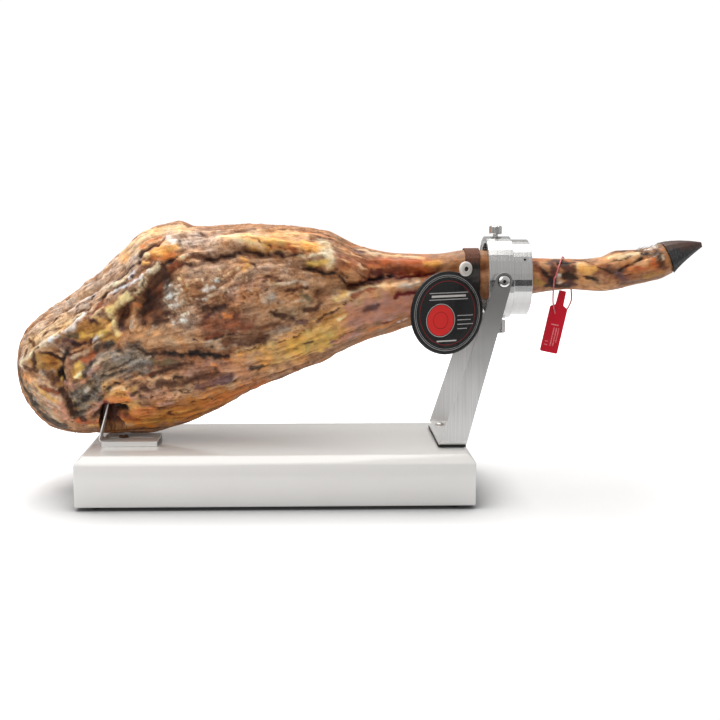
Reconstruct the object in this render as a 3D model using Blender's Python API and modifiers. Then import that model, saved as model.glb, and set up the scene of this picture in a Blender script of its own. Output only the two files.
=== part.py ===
"""A whole cured ham clamped in a ham stand with a tilting head.

Metres, +Z up, +X towards the hoof, -Y is the near side.  Everything is laid
out from the centre of the plinth on the floor; at the end the whole model is
moved so that the centre of its box in X and Y stands at the origin.
"""

import math

import bmesh
import bpy
import numpy as np
from mathutils import Matrix, Vector

MM = 0.001
GAP = 0.3 * MM
RUNNING_GAP = 0.15 * MM

# Plinth and feet
PLINTH_LENGTH = 0.445
PLINTH_DEPTH = 0.205
PLINTH_HEIGHT = 0.057
PLINTH_CHAMFER = 8.6 * MM
FOOT_RADIUS = 7.5 * MM
FOOT_HEIGHT = 4 * MM
FOOT_X = 0.200
FOOT_Y = 0.085
BOARD_TOP = FOOT_HEIGHT + PLINTH_HEIGHT

# Pivot of the head, and the bracket whose arms carry it
PIVOT_X = 0.2555
PIVOT_Z = BOARD_TOP + 0.190
SHEET = 3 * MM
ARM_INNER_Y = 61.8 * MM
BEND_RADIUS = 5.5 * MM
PAD_THICKNESS = 3.5 * MM
ARM_FOOT_X = (0.185, 0.2155)
ARM_TOP_RADIUS = 9.5 * MM
PLATE_BOTTOM = BOARD_TOP + PAD_THICKNESS
SCREW_X = 0.197
SCREW_Y = 0.045
SCREW_SHAFT = 2.2 * MM
SCREW_HEAD = 6 * MM
PLATE_HOLE = 2.6 * MM

# Clamp collar, its axis along X through the pivot
OUTER_X = (0.2415, 0.2705)
OUTER_RADIUS = 47.5 * MM
INNER_X = (0.2430, 0.2915)
INNER_RADIUS = 43.8 * MM
BORE_RADIUS = 39.8 * MM
BOSS_RADIUS = 8 * MM
PIN_RADIUS = 4 * MM
CLAMP_X = (0.2545, 0.2580)
CLAMP_SHAFT = 3 * MM
SET_SCREW_X = 0.283
SET_SCREW_ANGLE = math.radians(31)
SET_SCREW_RADIUS = 2.25 * MM
SET_HOLE = 2.6 * MM
FLUTE_DEPTH = 0.55 * MM
PIVOT_HEAD = 7.3 * MM

# Spike plate: a slotted channel with a blade bent up at its left end
SPIKE_X = (-0.2000, -0.1365)
SPIKE_Y = (-0.046, 0.006)
SPIKE_SHEET = 1.5 * MM
SPIKE_TOP = BOARD_TOP + 6 * MM
SLOT_X = (-0.193, -0.1445)
SLOT_WIDTH = 3.4 * MM
SPIKE_BOLT_X = -0.178
BLADE_LEAN = math.radians(14)
BLADE_LENGTH = 0.040
BLADE_WIDTH = 0.024
BLADE_Y = -0.032
BLADE_TAPER = ((0.25, 0.86), (0.6, 0.5), (0.85, 0.2), (1.0, 0.06))
BLADE_ROOT_BEND = 4 * MM
SPIKE_BOLT_HEAD = 6 * MM

# Ham: (x, value) points of its outlines, with heights above the floor
BUTT_X = -0.302
SHANK_END_X = 0.4545
BUTT_Z = 0.1465
HAM_TOP = [
    (BUTT_X, BUTT_Z), (-0.294, 0.184), (-0.280, 0.201), (-0.258, 0.2185),
    (-0.230, 0.237), (-0.202, 0.258), (-0.178, 0.281), (-0.150, 0.305),
    (-0.122, 0.3145), (-0.109, 0.316), (-0.092, 0.3105), (-0.070, 0.311),
    (-0.039, 0.313), (0.016, 0.311), (0.058, 0.305), (0.099, 0.287),
    (0.141, 0.279), (0.183, 0.278), (0.225, 0.283), (0.262, 0.280),
    (0.300, 0.273), (0.355, 0.272), (0.377, 0.274), (0.398, 0.282),
    (0.419, 0.2825), (0.440, 0.286), (SHANK_END_X, 0.290),
]
HAM_BOTTOM = [
    (BUTT_X, BUTT_Z), (-0.294, 0.112), (-0.280, 0.091), (-0.265, 0.077),
    (-0.244, 0.0705), (-0.225, 0.0685), (-0.155, 0.0685), (-0.117, 0.0775),
    (-0.067, 0.099), (-0.026, 0.121), (0.016, 0.138), (0.058, 0.155),
    (0.099, 0.176), (0.141, 0.189), (0.190, 0.207), (0.230, 0.224),
    (0.300, 0.232), (0.340, 0.2365), (0.377, 0.2345), (0.398, 0.237),
    (0.419, 0.2425), (0.440, 0.2475), (SHANK_END_X, 0.2555),
]
HAM_NEAR = [
    (BUTT_X, 0.0), (-0.294, 0.024), (-0.280, 0.037), (-0.258, 0.048),
    (-0.220, 0.058), (-0.170, 0.066), (-0.110, 0.070), (-0.050, 0.066),
    (0.000, 0.058), (0.050, 0.047), (0.100, 0.036), (0.150, 0.028),
    (0.200, 0.0235), (0.290, 0.0225), (0.315, 0.018), (0.360, 0.017),
    (0.400, 0.022), (SHANK_END_X, 0.021),
]
HAM_FAR = [
    (BUTT_X, 0.0), (-0.294, 0.028), (-0.280, 0.043), (-0.258, 0.057),
    (-0.220, 0.069), (-0.170, 0.080), (-0.110, 0.086), (-0.050, 0.082),
    (0.000, 0.070), (0.050, 0.055), (0.100, 0.041), (0.150, 0.032),
    (0.200, 0.026), (0.290, 0.0235), (0.315, 0.019), (0.360, 0.018),
    (0.400, 0.022), (SHANK_END_X, 0.021),
]
UPPER_POWER = (2.3, 2.1)
LOWER_POWER = (1.85, 2.0)
HAM_ROWS = 66
NEAR_SIDES = 20
FAR_SIDES = 11
BUTT_FADE = 0.03

# Hole round the blade: (z, left x, length, half width) from low to high
WOUND_LEFT = SPIKE_X[0] - 5.5 * MM
WOUND_LOW = BOARD_TOP - 2 * MM
WOUND_HIGH = SPIKE_TOP + BLADE_LENGTH + 6 * MM
WOUND_ROWS = [
    (WOUND_LOW, WOUND_LEFT, 0.038, 0.020),
    (WOUND_LOW + 0.030, WOUND_LEFT + 2 * MM, 0.028, 0.018),
    (WOUND_HIGH, WOUND_LEFT + 6 * MM, 0.014, 0.012),
]

# Relief of the near face: lines of (x, z), then height, half width
FOLD = [(-0.090, 0.280), (-0.045, 0.296), (0.005, 0.288), (0.034, 0.284),
        (0.060, 0.274), (0.090, 0.262)]
FOLD_CREASE = [(-0.090, 0.270), (-0.060, 0.278), (-0.038, 0.283), (0.005, 0.273),
               (0.034, 0.268), (0.060, 0.254), (0.090, 0.240)]
BONE_RIDGE = [(-0.285, 0.156), (-0.253, 0.181), (-0.204, 0.212), (-0.178, 0.231),
              (-0.150, 0.249), (-0.125, 0.270)]
BONE_HOLLOW = [(-0.205, 0.190), (-0.165, 0.215), (-0.135, 0.238)]
RIM_HOLLOW = [(-0.262, 0.200), (-0.215, 0.232), (-0.172, 0.264)]
RIM_LUMP = [(-0.158, 0.270), (-0.136, 0.276)]
LOIN_HOLLOW = [(-0.120, 0.232), (-0.075, 0.228)]
LOIN_CRACK = [(-0.155, 0.178), (-0.110, 0.172), (-0.045, 0.176), (-0.005, 0.190)]
BUTT_CREASE = [(-0.262, 0.168), (-0.256, 0.130), (-0.238, 0.100)]
FAT_BELLY = [(-0.180, 0.100), (-0.110, 0.112)]
SHANK_GROOVE = [(0.050, 0.236), (0.110, 0.244), (0.170, 0.256), (0.240, 0.262)]
LOWER_GROOVE = [(0.060, 0.205), (0.120, 0.222), (0.185, 0.234)]
FETLOCK_FOLD = [(0.404, 0.266), (0.420, 0.271), (0.436, 0.279)]
HEEL_HOLLOW = [(0.372, 0.256), (0.392, 0.252)]
NEAR_RELIEF = [
    (FOLD, 8.0 * MM, 11 * MM),
    (FOLD_CREASE, -7.0 * MM, 8 * MM),
    (BONE_RIDGE, 8.5 * MM, 9 * MM),
    (BONE_HOLLOW, -10.0 * MM, 13 * MM),
    (RIM_HOLLOW, -6.0 * MM, 8 * MM),
    (RIM_LUMP, 7.0 * MM, 9 * MM),
    (LOIN_HOLLOW, -5.0 * MM, 26 * MM),
    (LOIN_CRACK, -4.0 * MM, 8 * MM),
    (BUTT_CREASE, -5.0 * MM, 8 * MM),
    (FAT_BELLY, 4.0 * MM, 18 * MM),
    (SHANK_GROOVE, -6.5 * MM, 7.5 * MM),
    (LOWER_GROOVE, -3.0 * MM, 7 * MM),
    (FETLOCK_FOLD, -2.5 * MM, 4 * MM),
    (HEEL_HOLLOW, -1.5 * MM, 5 * MM),
]
FAR_HOLLOW = [(0.060, 0.238), (0.120, 0.242), (0.180, 0.250), (0.240, 0.256)]
FAR_SWELL = [(-0.190, 0.160), (-0.080, 0.190)]
FAR_RELIEF = [(FAR_HOLLOW, -3.0 * MM, 9 * MM), (FAR_SWELL, 5.0 * MM, 45 * MM)]

# Claws of the hoof
CORONET_X = 0.41
CORONET_LEAN = -0.42
HOOF_TIP = (0.4965, 0.2860)
CLAW_CLEFT = 1.2 * MM
CLAW_SHARES = (0, 0.16, 0.34, 0.54, 0.74, 0.89, 0.97)
CLAW_HALF_WIDTH = 9.8 * MM
CLAW_SIDES = 12

# Label, its snap button and its strap
DISC_RADIUS = 47.5 * MM
DISC_THICKNESS = 3 * MM
DISC_RIM = 3.4 * MM
DISC_CENTRE = (0.1945, -0.0435, 0.2135)
DISC_TURN = math.radians(25)
BUTTON_RADIUS = 8.5 * MM
BUTTON_X = 0.2147
BUTTON_Z = 0.2630
STRAP_X = (0.2175, 0.2345)
STRAP_THICKNESS = 1.4 * MM
STRAP_SIDES = 28

# Seal tag
TAG_SIZE = (0.0208, 0.0020, 0.0560)
TAG_LEAN = math.radians(12)
TAG_CENTRE = (0.3244, -0.004, 0.1903)
TAG_NECK = (0.0082, 0.0020, 0.0185)
LOOP_RADIUS = 0.8 * MM
LOOP_SIDE_X = (0.3205, 0.3468)
LOOP_CLEAR = 1.6 * MM
LOOP_POINTS = 20

COLOURS = {
    "lacquer": ((0.86, 0.85, 0.83), 0.18, 0.0),
    "rubber": ((0.02, 0.02, 0.02), 0.7, 0.0),
    "brushed_steel": ((0.62, 0.61, 0.60), 0.35, 1.0),
    "satin_aluminium": ((0.80, 0.80, 0.80), 0.28, 1.0),
    "dark_steel": ((0.16, 0.14, 0.13), 0.35, 1.0),
    "meat": ((0.42, 0.20, 0.09), 0.55, 0.0),
    "horn": ((0.05, 0.045, 0.045), 0.4, 0.0),
    "label_black": ((0.015, 0.015, 0.015), 0.25, 0.0),
    "button_white": ((0.85, 0.84, 0.82), 0.35, 0.0),
    "webbing": ((0.03, 0.028, 0.028), 0.9, 0.0),
    "seal_red": ((0.60, 0.015, 0.03), 0.35, 0.0),
}


# ---------------------------------------------------------------- scene tools


def clear_scene():
    for item in list(bpy.data.objects):
        bpy.data.objects.remove(item)


def collection(name):
    found = bpy.data.collections.new(name)
    bpy.context.scene.collection.children.link(found)
    return found


def material(name):
    found = bpy.data.materials.get(name)
    if found:
        return found
    colour, roughness, metallic = COLOURS[name]
    made = bpy.data.materials.new(name)
    made.use_nodes = True
    shader = made.node_tree.nodes["Principled BSDF"]
    shader.inputs["Base Color"].default_value = (*colour, 1)
    shader.inputs["Roughness"].default_value = roughness
    shader.inputs["Metallic"].default_value = metallic
    return made


def add_object(name, mesh, finish, sharp_angle=35):
    """A part in the model's collection, shaded smooth up to the sharp angle."""
    made = bpy.data.objects.new(name, mesh)
    parts.objects.link(made)
    mesh.materials.clear()
    mesh.materials.append(material(finish))
    mesh.shade_smooth()
    mesh.set_sharp_from_angle(angle=math.radians(sharp_angle))
    return made


def mesh_from(bm, name):
    bmesh.ops.recalc_face_normals(bm, faces=bm.faces)
    mesh = bpy.data.meshes.new(name)
    bm.to_mesh(mesh)
    bm.free()
    return mesh


def box_mesh(name, low, high):
    bm = bmesh.new()
    bmesh.ops.create_cube(bm, size=1)
    size = Vector(high) - Vector(low)
    middle = (Vector(high) + Vector(low)) / 2
    bmesh.ops.scale(bm, vec=size, verts=bm.verts)
    bmesh.ops.translate(bm, vec=middle, verts=bm.verts)
    return mesh_from(bm, name)


def cylinder_mesh(name, radius, length, sides=24, top_radius=None):
    """A cylinder or cone about local Z, centred on its origin."""
    bm = bmesh.new()
    bmesh.ops.create_cone(
        bm, cap_ends=True, segments=sides, radius1=radius,
        radius2=radius if top_radius is None else top_radius, depth=length)
    return mesh_from(bm, name)


def turned(name, profile, finish, steps=24, closed=False):
    """A profile of (radius, z), given down its outer side, turned about Z."""
    mesh = bpy.data.meshes.new(name)
    count = len(profile)
    edges = [(i, i + 1) for i in range(count - 1)]
    if closed:
        edges.append((count - 1, 0))
    mesh.from_pydata([(r, 0, z) for r, z in profile], edges, [])
    made = add_object(name, mesh, finish)
    screw = made.modifiers.new("turn", "SCREW")
    screw.axis = "Z"
    screw.steps = steps
    screw.render_steps = steps
    screw.use_merge_vertices = True
    screw.merge_threshold = 0.00005
    return made


def loft(name, rings, closed=False):
    """A mesh through rings of points; a ring of one point closes to a tip."""
    bm = bmesh.new()
    rows = [[bm.verts.new(p) for p in ring] for ring in rings]
    pairs = list(zip(rows, rows[1:]))
    if closed:
        pairs.append((rows[-1], rows[0]))
    for one, two in pairs:
        count = max(len(one), len(two))
        for i in range(count):
            k = (i + 1) % count
            if len(one) == 1:
                bm.faces.new((one[0], two[k], two[i]))
            elif len(two) == 1:
                bm.faces.new((one[i], one[k], two[0]))
            else:
                bm.faces.new((one[i], one[k], two[k], two[i]))
    if not closed:
        for row in (rows[0], rows[-1]):
            if len(row) > 1:
                bm.faces.new(row)
    return mesh_from(bm, name)


def bevel(item, width, segments=2):
    rounded = item.modifiers.new("rounded edges", "BEVEL")
    rounded.width = width
    rounded.segments = segments
    rounded.limit_method = "ANGLE"
    rounded.angle_limit = math.radians(40)


def cutter(name, mesh):
    made = bpy.data.objects.new(name, mesh)
    cutters.objects.link(made)
    made.hide_render = True
    made.display_type = "WIRE"
    return made


def combine(item, other, operation):
    step = item.modifiers.new(operation.lower(), "BOOLEAN")
    step.operation = operation
    step.object = other


def cut_round(item, name, radius, length, location, direction, sides=16):
    """Cuts a round hole centred on a point, along a direction."""
    tool = cutter(name, cylinder_mesh(name, radius, length, sides))
    tool.rotation_euler = Vector(direction).to_track_quat("Z", "Y").to_euler()
    tool.location = location
    combine(item, tool, "DIFFERENCE")
    return tool


# ------------------------------------------------------------- curves by rule


def through(points, x):
    """Monotone cubic curve through (x, value) points, read at every x."""
    xs, values = np.array(points, float).T
    step = np.diff(xs)
    slope = np.diff(values) / step
    tangent = np.concatenate((slope[:1], np.zeros(len(slope) - 1), slope[-1:]))
    rising = slope[:-1] * slope[1:] > 0
    before = slope[:-1][rising]
    after = slope[1:][rising]
    tangent[1:-1][rising] = 2 * before * after / (before + after)
    i = np.clip(np.searchsorted(xs, x) - 1, 0, len(step) - 1)
    t = (x - xs[i]) / step[i]
    start = (1 + 2 * t) * (1 - t) ** 2 * values[i]
    leave = t * (1 - t) ** 2 * step[i] * tangent[i]
    end = t * t * (3 - 2 * t) * values[i + 1]
    arrive = t * t * (t - 1) * step[i] * tangent[i + 1]
    return start + leave + end + arrive


def outline(points, x):
    """The same, over the root of the distance from the butt, so it ends round."""
    rooted = [(math.sqrt(px - BUTT_X), value) for px, value in points]
    return through(rooted, np.sqrt(np.maximum(x - BUTT_X, 0)))


def line_distance(line, x, z):
    """Distance of every (x, z) from a line of straight stretches."""
    nearest = np.full(np.shape(x), 1.0)
    for (x0, z0), (x1, z1) in zip(line, line[1:]):
        run = (x1 - x0) ** 2 + (z1 - z0) ** 2
        t = np.clip(((x - x0) * (x1 - x0) + (z - z0) * (z1 - z0)) / run, 0, 1)
        away = np.hypot(x - x0 - t * (x1 - x0), z - z0 - t * (z1 - z0))
        nearest = np.minimum(nearest, away)
    return nearest


def relief(lines, x, z):
    total = np.zeros(np.shape(x))
    for line, height, width in lines:
        total += height * np.exp(-((line_distance(line, x, z) / width) ** 2))
    return total


def ham_section(x, angle):
    """Points of the ham's skin: y and z at x, for angles from far side up."""
    top = outline(HAM_TOP, x)
    bottom = outline(HAM_BOTTOM, x)
    near = outline(HAM_NEAR, x)
    far = outline(HAM_FAR, x)
    side = np.cos(angle)
    rise = np.sin(angle)
    is_near = side < 0
    upper = np.where(is_near, UPPER_POWER[0], UPPER_POWER[1])
    lower = np.where(is_near, LOWER_POWER[0], LOWER_POWER[1])
    power = np.where(rise > 0, upper, lower)
    across = np.sign(side) * np.abs(side) ** (2 / power)
    up = np.sign(rise) * np.abs(rise) ** (2 / power)
    y = across * np.where(is_near, near, far)
    z = (top + bottom) / 2 + up * (top - bottom) / 2
    facing_near = np.clip(-side * 1.6, 0, 1)
    facing_far = np.clip(side * 1.6, 0, 1)
    swell = relief(NEAR_RELIEF, x, z) * facing_near
    swell = swell + relief(FAR_RELIEF, x, z) * facing_far
    fade = np.clip((x - BUTT_X) / BUTT_FADE, 0, 1)
    return y + swell * side * fade, z + swell * rise * fade * 0.3


def coronet_shear(x, z):
    """Moves the last stretch along X so that the hoof's edge leans back."""
    share = np.clip((x - CORONET_X) / (SHANK_END_X - CORONET_X), 0, 1) ** 2
    middle = (HAM_TOP[-1][1] + HAM_BOTTOM[-1][1]) / 2
    return x + share * CORONET_LEAN * (z - middle)


# -------------------------------------------------------------------- stand


def make_plinth():
    half = Vector((PLINTH_LENGTH / 2, PLINTH_DEPTH / 2, 0))
    bm = bmesh.new()
    bmesh.ops.create_cube(bm, size=1)
    bmesh.ops.scale(bm, vec=(2 * half.x, 2 * half.y, PLINTH_HEIGHT), verts=bm.verts)
    bmesh.ops.translate(
        bm, vec=(0, 0, FOOT_HEIGHT + PLINTH_HEIGHT / 2), verts=bm.verts)
    upper = [e for e in bm.edges if all(v.co.z > BOARD_TOP - MM for v in e.verts)]
    bmesh.ops.bevel(
        bm, geom=upper, offset=PLINTH_CHAMFER, segments=1, affect="EDGES")
    return add_object("plinth", mesh_from(bm, "plinth"), "lacquer", 20)


def make_feet():
    height = FOOT_HEIGHT - GAP
    profile = [(0, height), (FOOT_RADIUS, height), (FOOT_RADIUS, 0.8 * MM),
               (FOOT_RADIUS - 0.8 * MM, 0), (0, 0)]
    feet = []
    for ix, sx in (("left", -1), ("right", 1)):
        for iy, sy in (("near", -1), ("far", 1)):
            foot = turned(f"foot_{ix}_{iy}", profile, "rubber", 16)
            foot.location = (sx * FOOT_X, sy * FOOT_Y, 0)
            feet.append(foot)
    return feet


def arm_edges(z):
    """Left and right X of a bracket arm at a height, its top end round."""
    foot_middle = sum(ARM_FOOT_X) / 2
    foot_half = (ARM_FOOT_X[1] - ARM_FOOT_X[0]) / 2
    share = (z - PLATE_BOTTOM) / (PIVOT_Z - PLATE_BOTTOM)
    if share >= 1:
        above = z - PIVOT_Z
        half = math.sqrt(max(ARM_TOP_RADIUS ** 2 - above ** 2, 0))
        return PIVOT_X - half, PIVOT_X + half
    share = max(share, 0)
    middle = foot_middle + (PIVOT_X - foot_middle) * share
    half = foot_half + (ARM_TOP_RADIUS - foot_half) * share
    return middle - half, middle + half


def bracket_path():
    """(y, z, outward y, outward z) from a near arm's top to the middle."""
    outer = ARM_INNER_Y + SHEET
    rows = []
    for i in range(7):
        turn = math.radians(84 - 14 * i)
        rows.append((-outer, PIVOT_Z + ARM_TOP_RADIUS * math.sin(turn), -1, 0))
    rows.append((-outer, PLATE_BOTTOM + BEND_RADIUS, -1, 0))
    for i in range(1, 5):
        turn = math.radians(22.5 * i)
        y = -outer + BEND_RADIUS * (1 - math.cos(turn))
        z = PLATE_BOTTOM + BEND_RADIUS * (1 - math.sin(turn))
        rows.append((y, z, -math.cos(turn), -math.sin(turn)))
    return rows


def make_bracket():
    half = bracket_path()
    other = [(-y, z, -oy, oz) for y, z, oy, oz in reversed(half)]
    rings = []
    for y, z, out_y, out_z in half + other:
        left, right = arm_edges(z)
        inner = (y - out_y * SHEET, z - out_z * SHEET)
        rings.append([(left, y, z), (right, y, z),
                      (right, *inner), (left, *inner)])
    bracket = add_object("bracket", loft("bracket", rings), "brushed_steel")
    cut_round(bracket, "pivot_hole_cut", PIN_RADIUS + RUNNING_GAP,
              4 * ARM_INNER_Y, (PIVOT_X, 0, PIVOT_Z), (0, 1, 0))
    for side in (-1, 1):
        place = (SCREW_X, side * SCREW_Y, PLATE_BOTTOM)
        cut_round(bracket, "plate_hole_cut", PLATE_HOLE, 12 * MM, place, (0, 0, 1), 12)
    return bracket


def make_bracket_pad():
    inset = BEND_RADIUS + 0.5 * MM
    low = (ARM_FOOT_X[0] - 0.5 * MM, -ARM_INNER_Y - SHEET + inset, BOARD_TOP + GAP)
    high = (ARM_FOOT_X[1] + 0.5 * MM, ARM_INNER_Y + SHEET - inset, PLATE_BOTTOM - GAP)
    pad = add_object("bracket_pad", box_mesh("bracket_pad", low, high), "rubber")
    for side in (-1, 1):
        place = (SCREW_X, side * SCREW_Y, PLATE_BOTTOM)
        cut_round(pad, "pad_hole_cut", PLATE_HOLE, 16 * MM, place, (0, 0, 1), 12)
    return pad


def make_bracket_screws():
    rest = PLATE_BOTTOM + SHEET + GAP
    bottom = BOARD_TOP + GAP - rest
    profile = [(0, 2.6 * MM), (3 * MM, 2.4 * MM), (5 * MM, 1.4 * MM), (SCREW_HEAD, 0),
               (SCREW_SHAFT, 0), (SCREW_SHAFT, bottom), (0, bottom)]
    made = []
    for label, side in (("near", -1), ("far", 1)):
        screw = turned(f"bracket_screw_{label}", profile, "satin_aluminium", 14)
        screw.location = (SCREW_X, side * SCREW_Y, rest)
        made.append(screw)
    return made


def blade_rings():
    """Sections of the blade, from its root in the plate up to its point."""
    sheet = SPIKE_SHEET - 0.2 * MM
    level = SPIKE_TOP - SPIKE_SHEET / 2
    bend_x = SPIKE_X[0] + 1.5 * MM
    turn_end = math.pi / 2 + BLADE_LEAN
    rows = [(SPIKE_X[0] + 10 * MM, level, 0.0, 1.0)]
    for i in range(6):
        turn = turn_end * i / 5
        x = bend_x - BLADE_ROOT_BEND * math.sin(turn)
        z = level + BLADE_ROOT_BEND * (1 - math.cos(turn))
        rows.append((x, z, turn, 1.0))
    last_x, last_z = rows[-1][:2]
    for share, width in BLADE_TAPER:
        along = share * BLADE_LENGTH
        x = last_x + along * math.sin(BLADE_LEAN)
        z = last_z + along * math.cos(BLADE_LEAN)
        rows.append((x, z, turn_end, width))
    rings = []
    for x, z, turn, width in rows:
        off_x = math.sin(turn) * sheet / 2
        off_z = math.cos(turn) * sheet / 2
        half = BLADE_WIDTH / 2 * width
        rings.append([
            (x + off_x, BLADE_Y - half, z + off_z), (x + off_x, BLADE_Y + half, z + off_z),
            (x - off_x, BLADE_Y + half, z - off_z), (x - off_x, BLADE_Y - half, z - off_z)])
    return rings


def make_spike_plate():
    y0, y1 = SPIKE_Y
    top = SPIKE_TOP
    low = BOARD_TOP + GAP
    t = SPIKE_SHEET
    section = [(y0, low), (y0, top), (y1, top), (y1, low),
               (y1 - t, low), (y1 - t, top - t), (y0 + t, top - t), (y0 + t, low)]
    rings = [[(x, y, z) for y, z in section] for x in SPIKE_X]
    plate = add_object("spike_plate", loft("spike_plate", rings), "satin_aluminium")
    blade = cutter("blade_add", loft("blade_add", blade_rings()))
    combine(plate, blade, "UNION")
    slot_y = sum(SPIKE_Y) / 2
    slot = cutter("slot_cut", box_mesh(
        "slot_cut", (SLOT_X[0], slot_y - SLOT_WIDTH / 2, top - 3 * t),
        (SLOT_X[1], slot_y + SLOT_WIDTH / 2, top + t)))
    combine(plate, slot, "DIFFERENCE")
    return plate


def make_spike_bolt():
    rest = SPIKE_TOP + GAP
    bottom = BOARD_TOP + GAP - rest
    shaft = SLOT_WIDTH / 2 - GAP
    profile = [(0, 3.2 * MM), (2.5 * MM, 3 * MM), (4.6 * MM, 2 * MM),
               (SPIKE_BOLT_HEAD, 0.4 * MM), (SPIKE_BOLT_HEAD, 0),
               (shaft, 0), (shaft, bottom), (0, bottom)]
    bolt = turned("spike_bolt", profile, "dark_steel", 16)
    bolt.location = (SPIKE_BOLT_X, sum(SPIKE_Y) / 2, rest)
    return bolt


# --------------------------------------------------------------------- head


def tube(name, span, radius, bore):
    """A tube about the collar's axis, which runs along X."""
    half = (span[1] - span[0]) / 2
    edge = 0.6 * MM
    profile = [(bore, half), (radius - edge, half), (radius, half - edge),
               (radius, -half + edge), (radius - edge, -half), (bore, -half)]
    made = turned(name, profile, "satin_aluminium", 40, closed=True)
    made.rotation_euler = (0, math.pi / 2, 0)
    made.location = ((span[0] + span[1]) / 2, 0, PIVOT_Z)
    return made


def make_collar():
    outer = tube("collar_outer", OUTER_X, OUTER_RADIUS, INNER_RADIUS + GAP)
    inner = tube("collar_inner", INNER_X, INNER_RADIUS, BORE_RADIUS)
    for label, side in (("near", -1), ("far", 1)):
        length = ARM_INNER_Y - GAP - (INNER_RADIUS + 1.4 * MM)
        boss = cutter(f"boss_{label}", cylinder_mesh(f"boss_{label}", BOSS_RADIUS, length))
        boss.rotation_euler = (math.pi / 2, 0, 0)
        boss.location = (PIVOT_X, side * (ARM_INNER_Y - GAP - length / 2), PIVOT_Z)
        combine(outer, boss, "UNION")
    for label, side in (("near", -1), ("far", 1)):
        place = (PIVOT_X, side * (ARM_INNER_Y + 2 * MM), PIVOT_Z)
        cut_round(outer, f"pin_socket_{label}", PIN_RADIUS + GAP, 26 * MM, place, (0, 1, 0))
    for x, side in zip(CLAMP_X, (1, -1)):
        place = (x, 0, PIVOT_Z + side * INNER_RADIUS)
        for ring in (outer, inner):
            cut_round(ring, "clamp_hole_cut", CLAMP_SHAFT + GAP, 24 * MM, place, (0, 0, 1), 12)
    aim = set_screw_direction()
    place = Vector((SET_SCREW_X, 0, PIVOT_Z)) + aim * INNER_RADIUS
    cut_round(inner, "set_hole_cut", SET_HOLE, 16 * MM, place, aim, 12)
    return [outer, inner]


def set_screw_direction():
    return Vector((0, -math.cos(SET_SCREW_ANGLE), math.sin(SET_SCREW_ANGLE)))


def make_set_screw():
    """A grub screw that sits just under the inner collar's skin."""
    half = 1.6 * MM
    profile = [(0, half - 0.8 * MM), (1.2 * MM, half - 0.8 * MM), (1.2 * MM, half),
               (SET_SCREW_RADIUS, half), (SET_SCREW_RADIUS, -half), (0, -half)]
    screw = turned("set_screw", profile, "dark_steel", 12)
    aim = set_screw_direction()
    screw.rotation_euler = aim.to_track_quat("Z", "Y").to_euler()
    screw.location = (Vector((SET_SCREW_X, 0, PIVOT_Z))
                      + aim * (INNER_RADIUS - half - 0.3 * MM))
    return screw


def knurled_screw(name, x, side, head_radius, head_height, neck, flutes):
    """A hand screw through the collar: fluted head, neck and shaft."""
    tip = float(outline(HAM_TOP if side > 0 else HAM_BOTTOM, np.array(x)))
    start = abs(tip - PIVOT_Z) + 0.8 * MM
    head_start = OUTER_RADIUS + neck
    rows = [(start, CLAMP_SHAFT), (head_start, CLAMP_SHAFT),
            (head_start + 0.1 * MM, head_radius - 0.8 * MM),
            (head_start + 1 * MM, head_radius),
            (head_start + head_height - 1 * MM, head_radius),
            (head_start + head_height, head_radius - 1 * MM)]
    rings = []
    for level, radius in rows:
        fluted = radius > head_radius - 0.5 * MM
        ring = []
        for i in range(2 * flutes):
            r = radius - (FLUTE_DEPTH if fluted and i % 2 else 0)
            turn = math.pi * i / flutes
            ring.append((x + r * math.cos(turn), r * math.sin(turn) * side,
                         PIVOT_Z + side * level))
        rings.append(ring)
    return add_object(name, loft(name, rings), "satin_aluminium", 25)


def make_pivot_screws():
    start = -9 * MM
    profile = [(0, 3 * MM), (4.5 * MM, 2.8 * MM), (6.7 * MM, 1.9 * MM),
               (PIVOT_HEAD, 0.6 * MM), (PIVOT_HEAD, 0), (PIN_RADIUS, 0),
               (PIN_RADIUS, start), (0, start)]
    made = []
    for label, side in (("near", -1), ("far", 1)):
        screw = turned(f"pivot_screw_{label}", profile, "satin_aluminium", 18)
        screw.rotation_euler = (-side * math.pi / 2, 0, 0)
        screw.location = (PIVOT_X, side * (ARM_INNER_Y + SHEET + GAP), PIVOT_Z)
        made.append(screw)
    return made


def ham_stations():
    """X of the ham's sections, closer together near the round butt."""
    share = np.linspace(0, 1, HAM_ROWS)
    return BUTT_X + (SHANK_END_X - BUTT_X) * (0.45 * share ** 2 + 0.55 * share)


def make_ham():
    near = np.linspace(0.5 * math.pi, 1.5 * math.pi, NEAR_SIDES, endpoint=False)
    far = np.linspace(1.5 * math.pi, 2.5 * math.pi, FAR_SIDES, endpoint=False)
    angles = np.concatenate((near, far))
    rings = [[(BUTT_X, 0, BUTT_Z)]]
    for x in ham_stations()[1:]:
        across = np.full(len(angles), x)
        y, z = ham_section(across, angles)
        rings.append(list(zip(coronet_shear(across, z), y, z)))
    ham = add_object("ham", loft("ham", rings), "meat", 60)
    wound = cutter("wound_cut", wound_mesh())
    combine(ham, wound, "DIFFERENCE")
    return ham


def wound_mesh():
    """The hole around the blade, widened to where the blade leaves the ham."""
    rings = []
    for z, x0, length, half in WOUND_ROWS:
        ring = []
        for a in np.linspace(0, 2 * math.pi, 16, endpoint=False):
            along, across = squarish(math.cos(a)), squarish(math.sin(a))
            narrowing = 1 - 0.3 * (1 + along)
            x = x0 + length / 2 * (1 + along)
            ring.append((x, BLADE_Y + half * across * narrowing, z))
        rings.append(ring)
    return loft("wound_cut", rings)


def squarish(value):
    """Turns a circle's sine or cosine into that of a rounded square."""
    return math.copysign(abs(value) ** 0.5, value)


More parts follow.
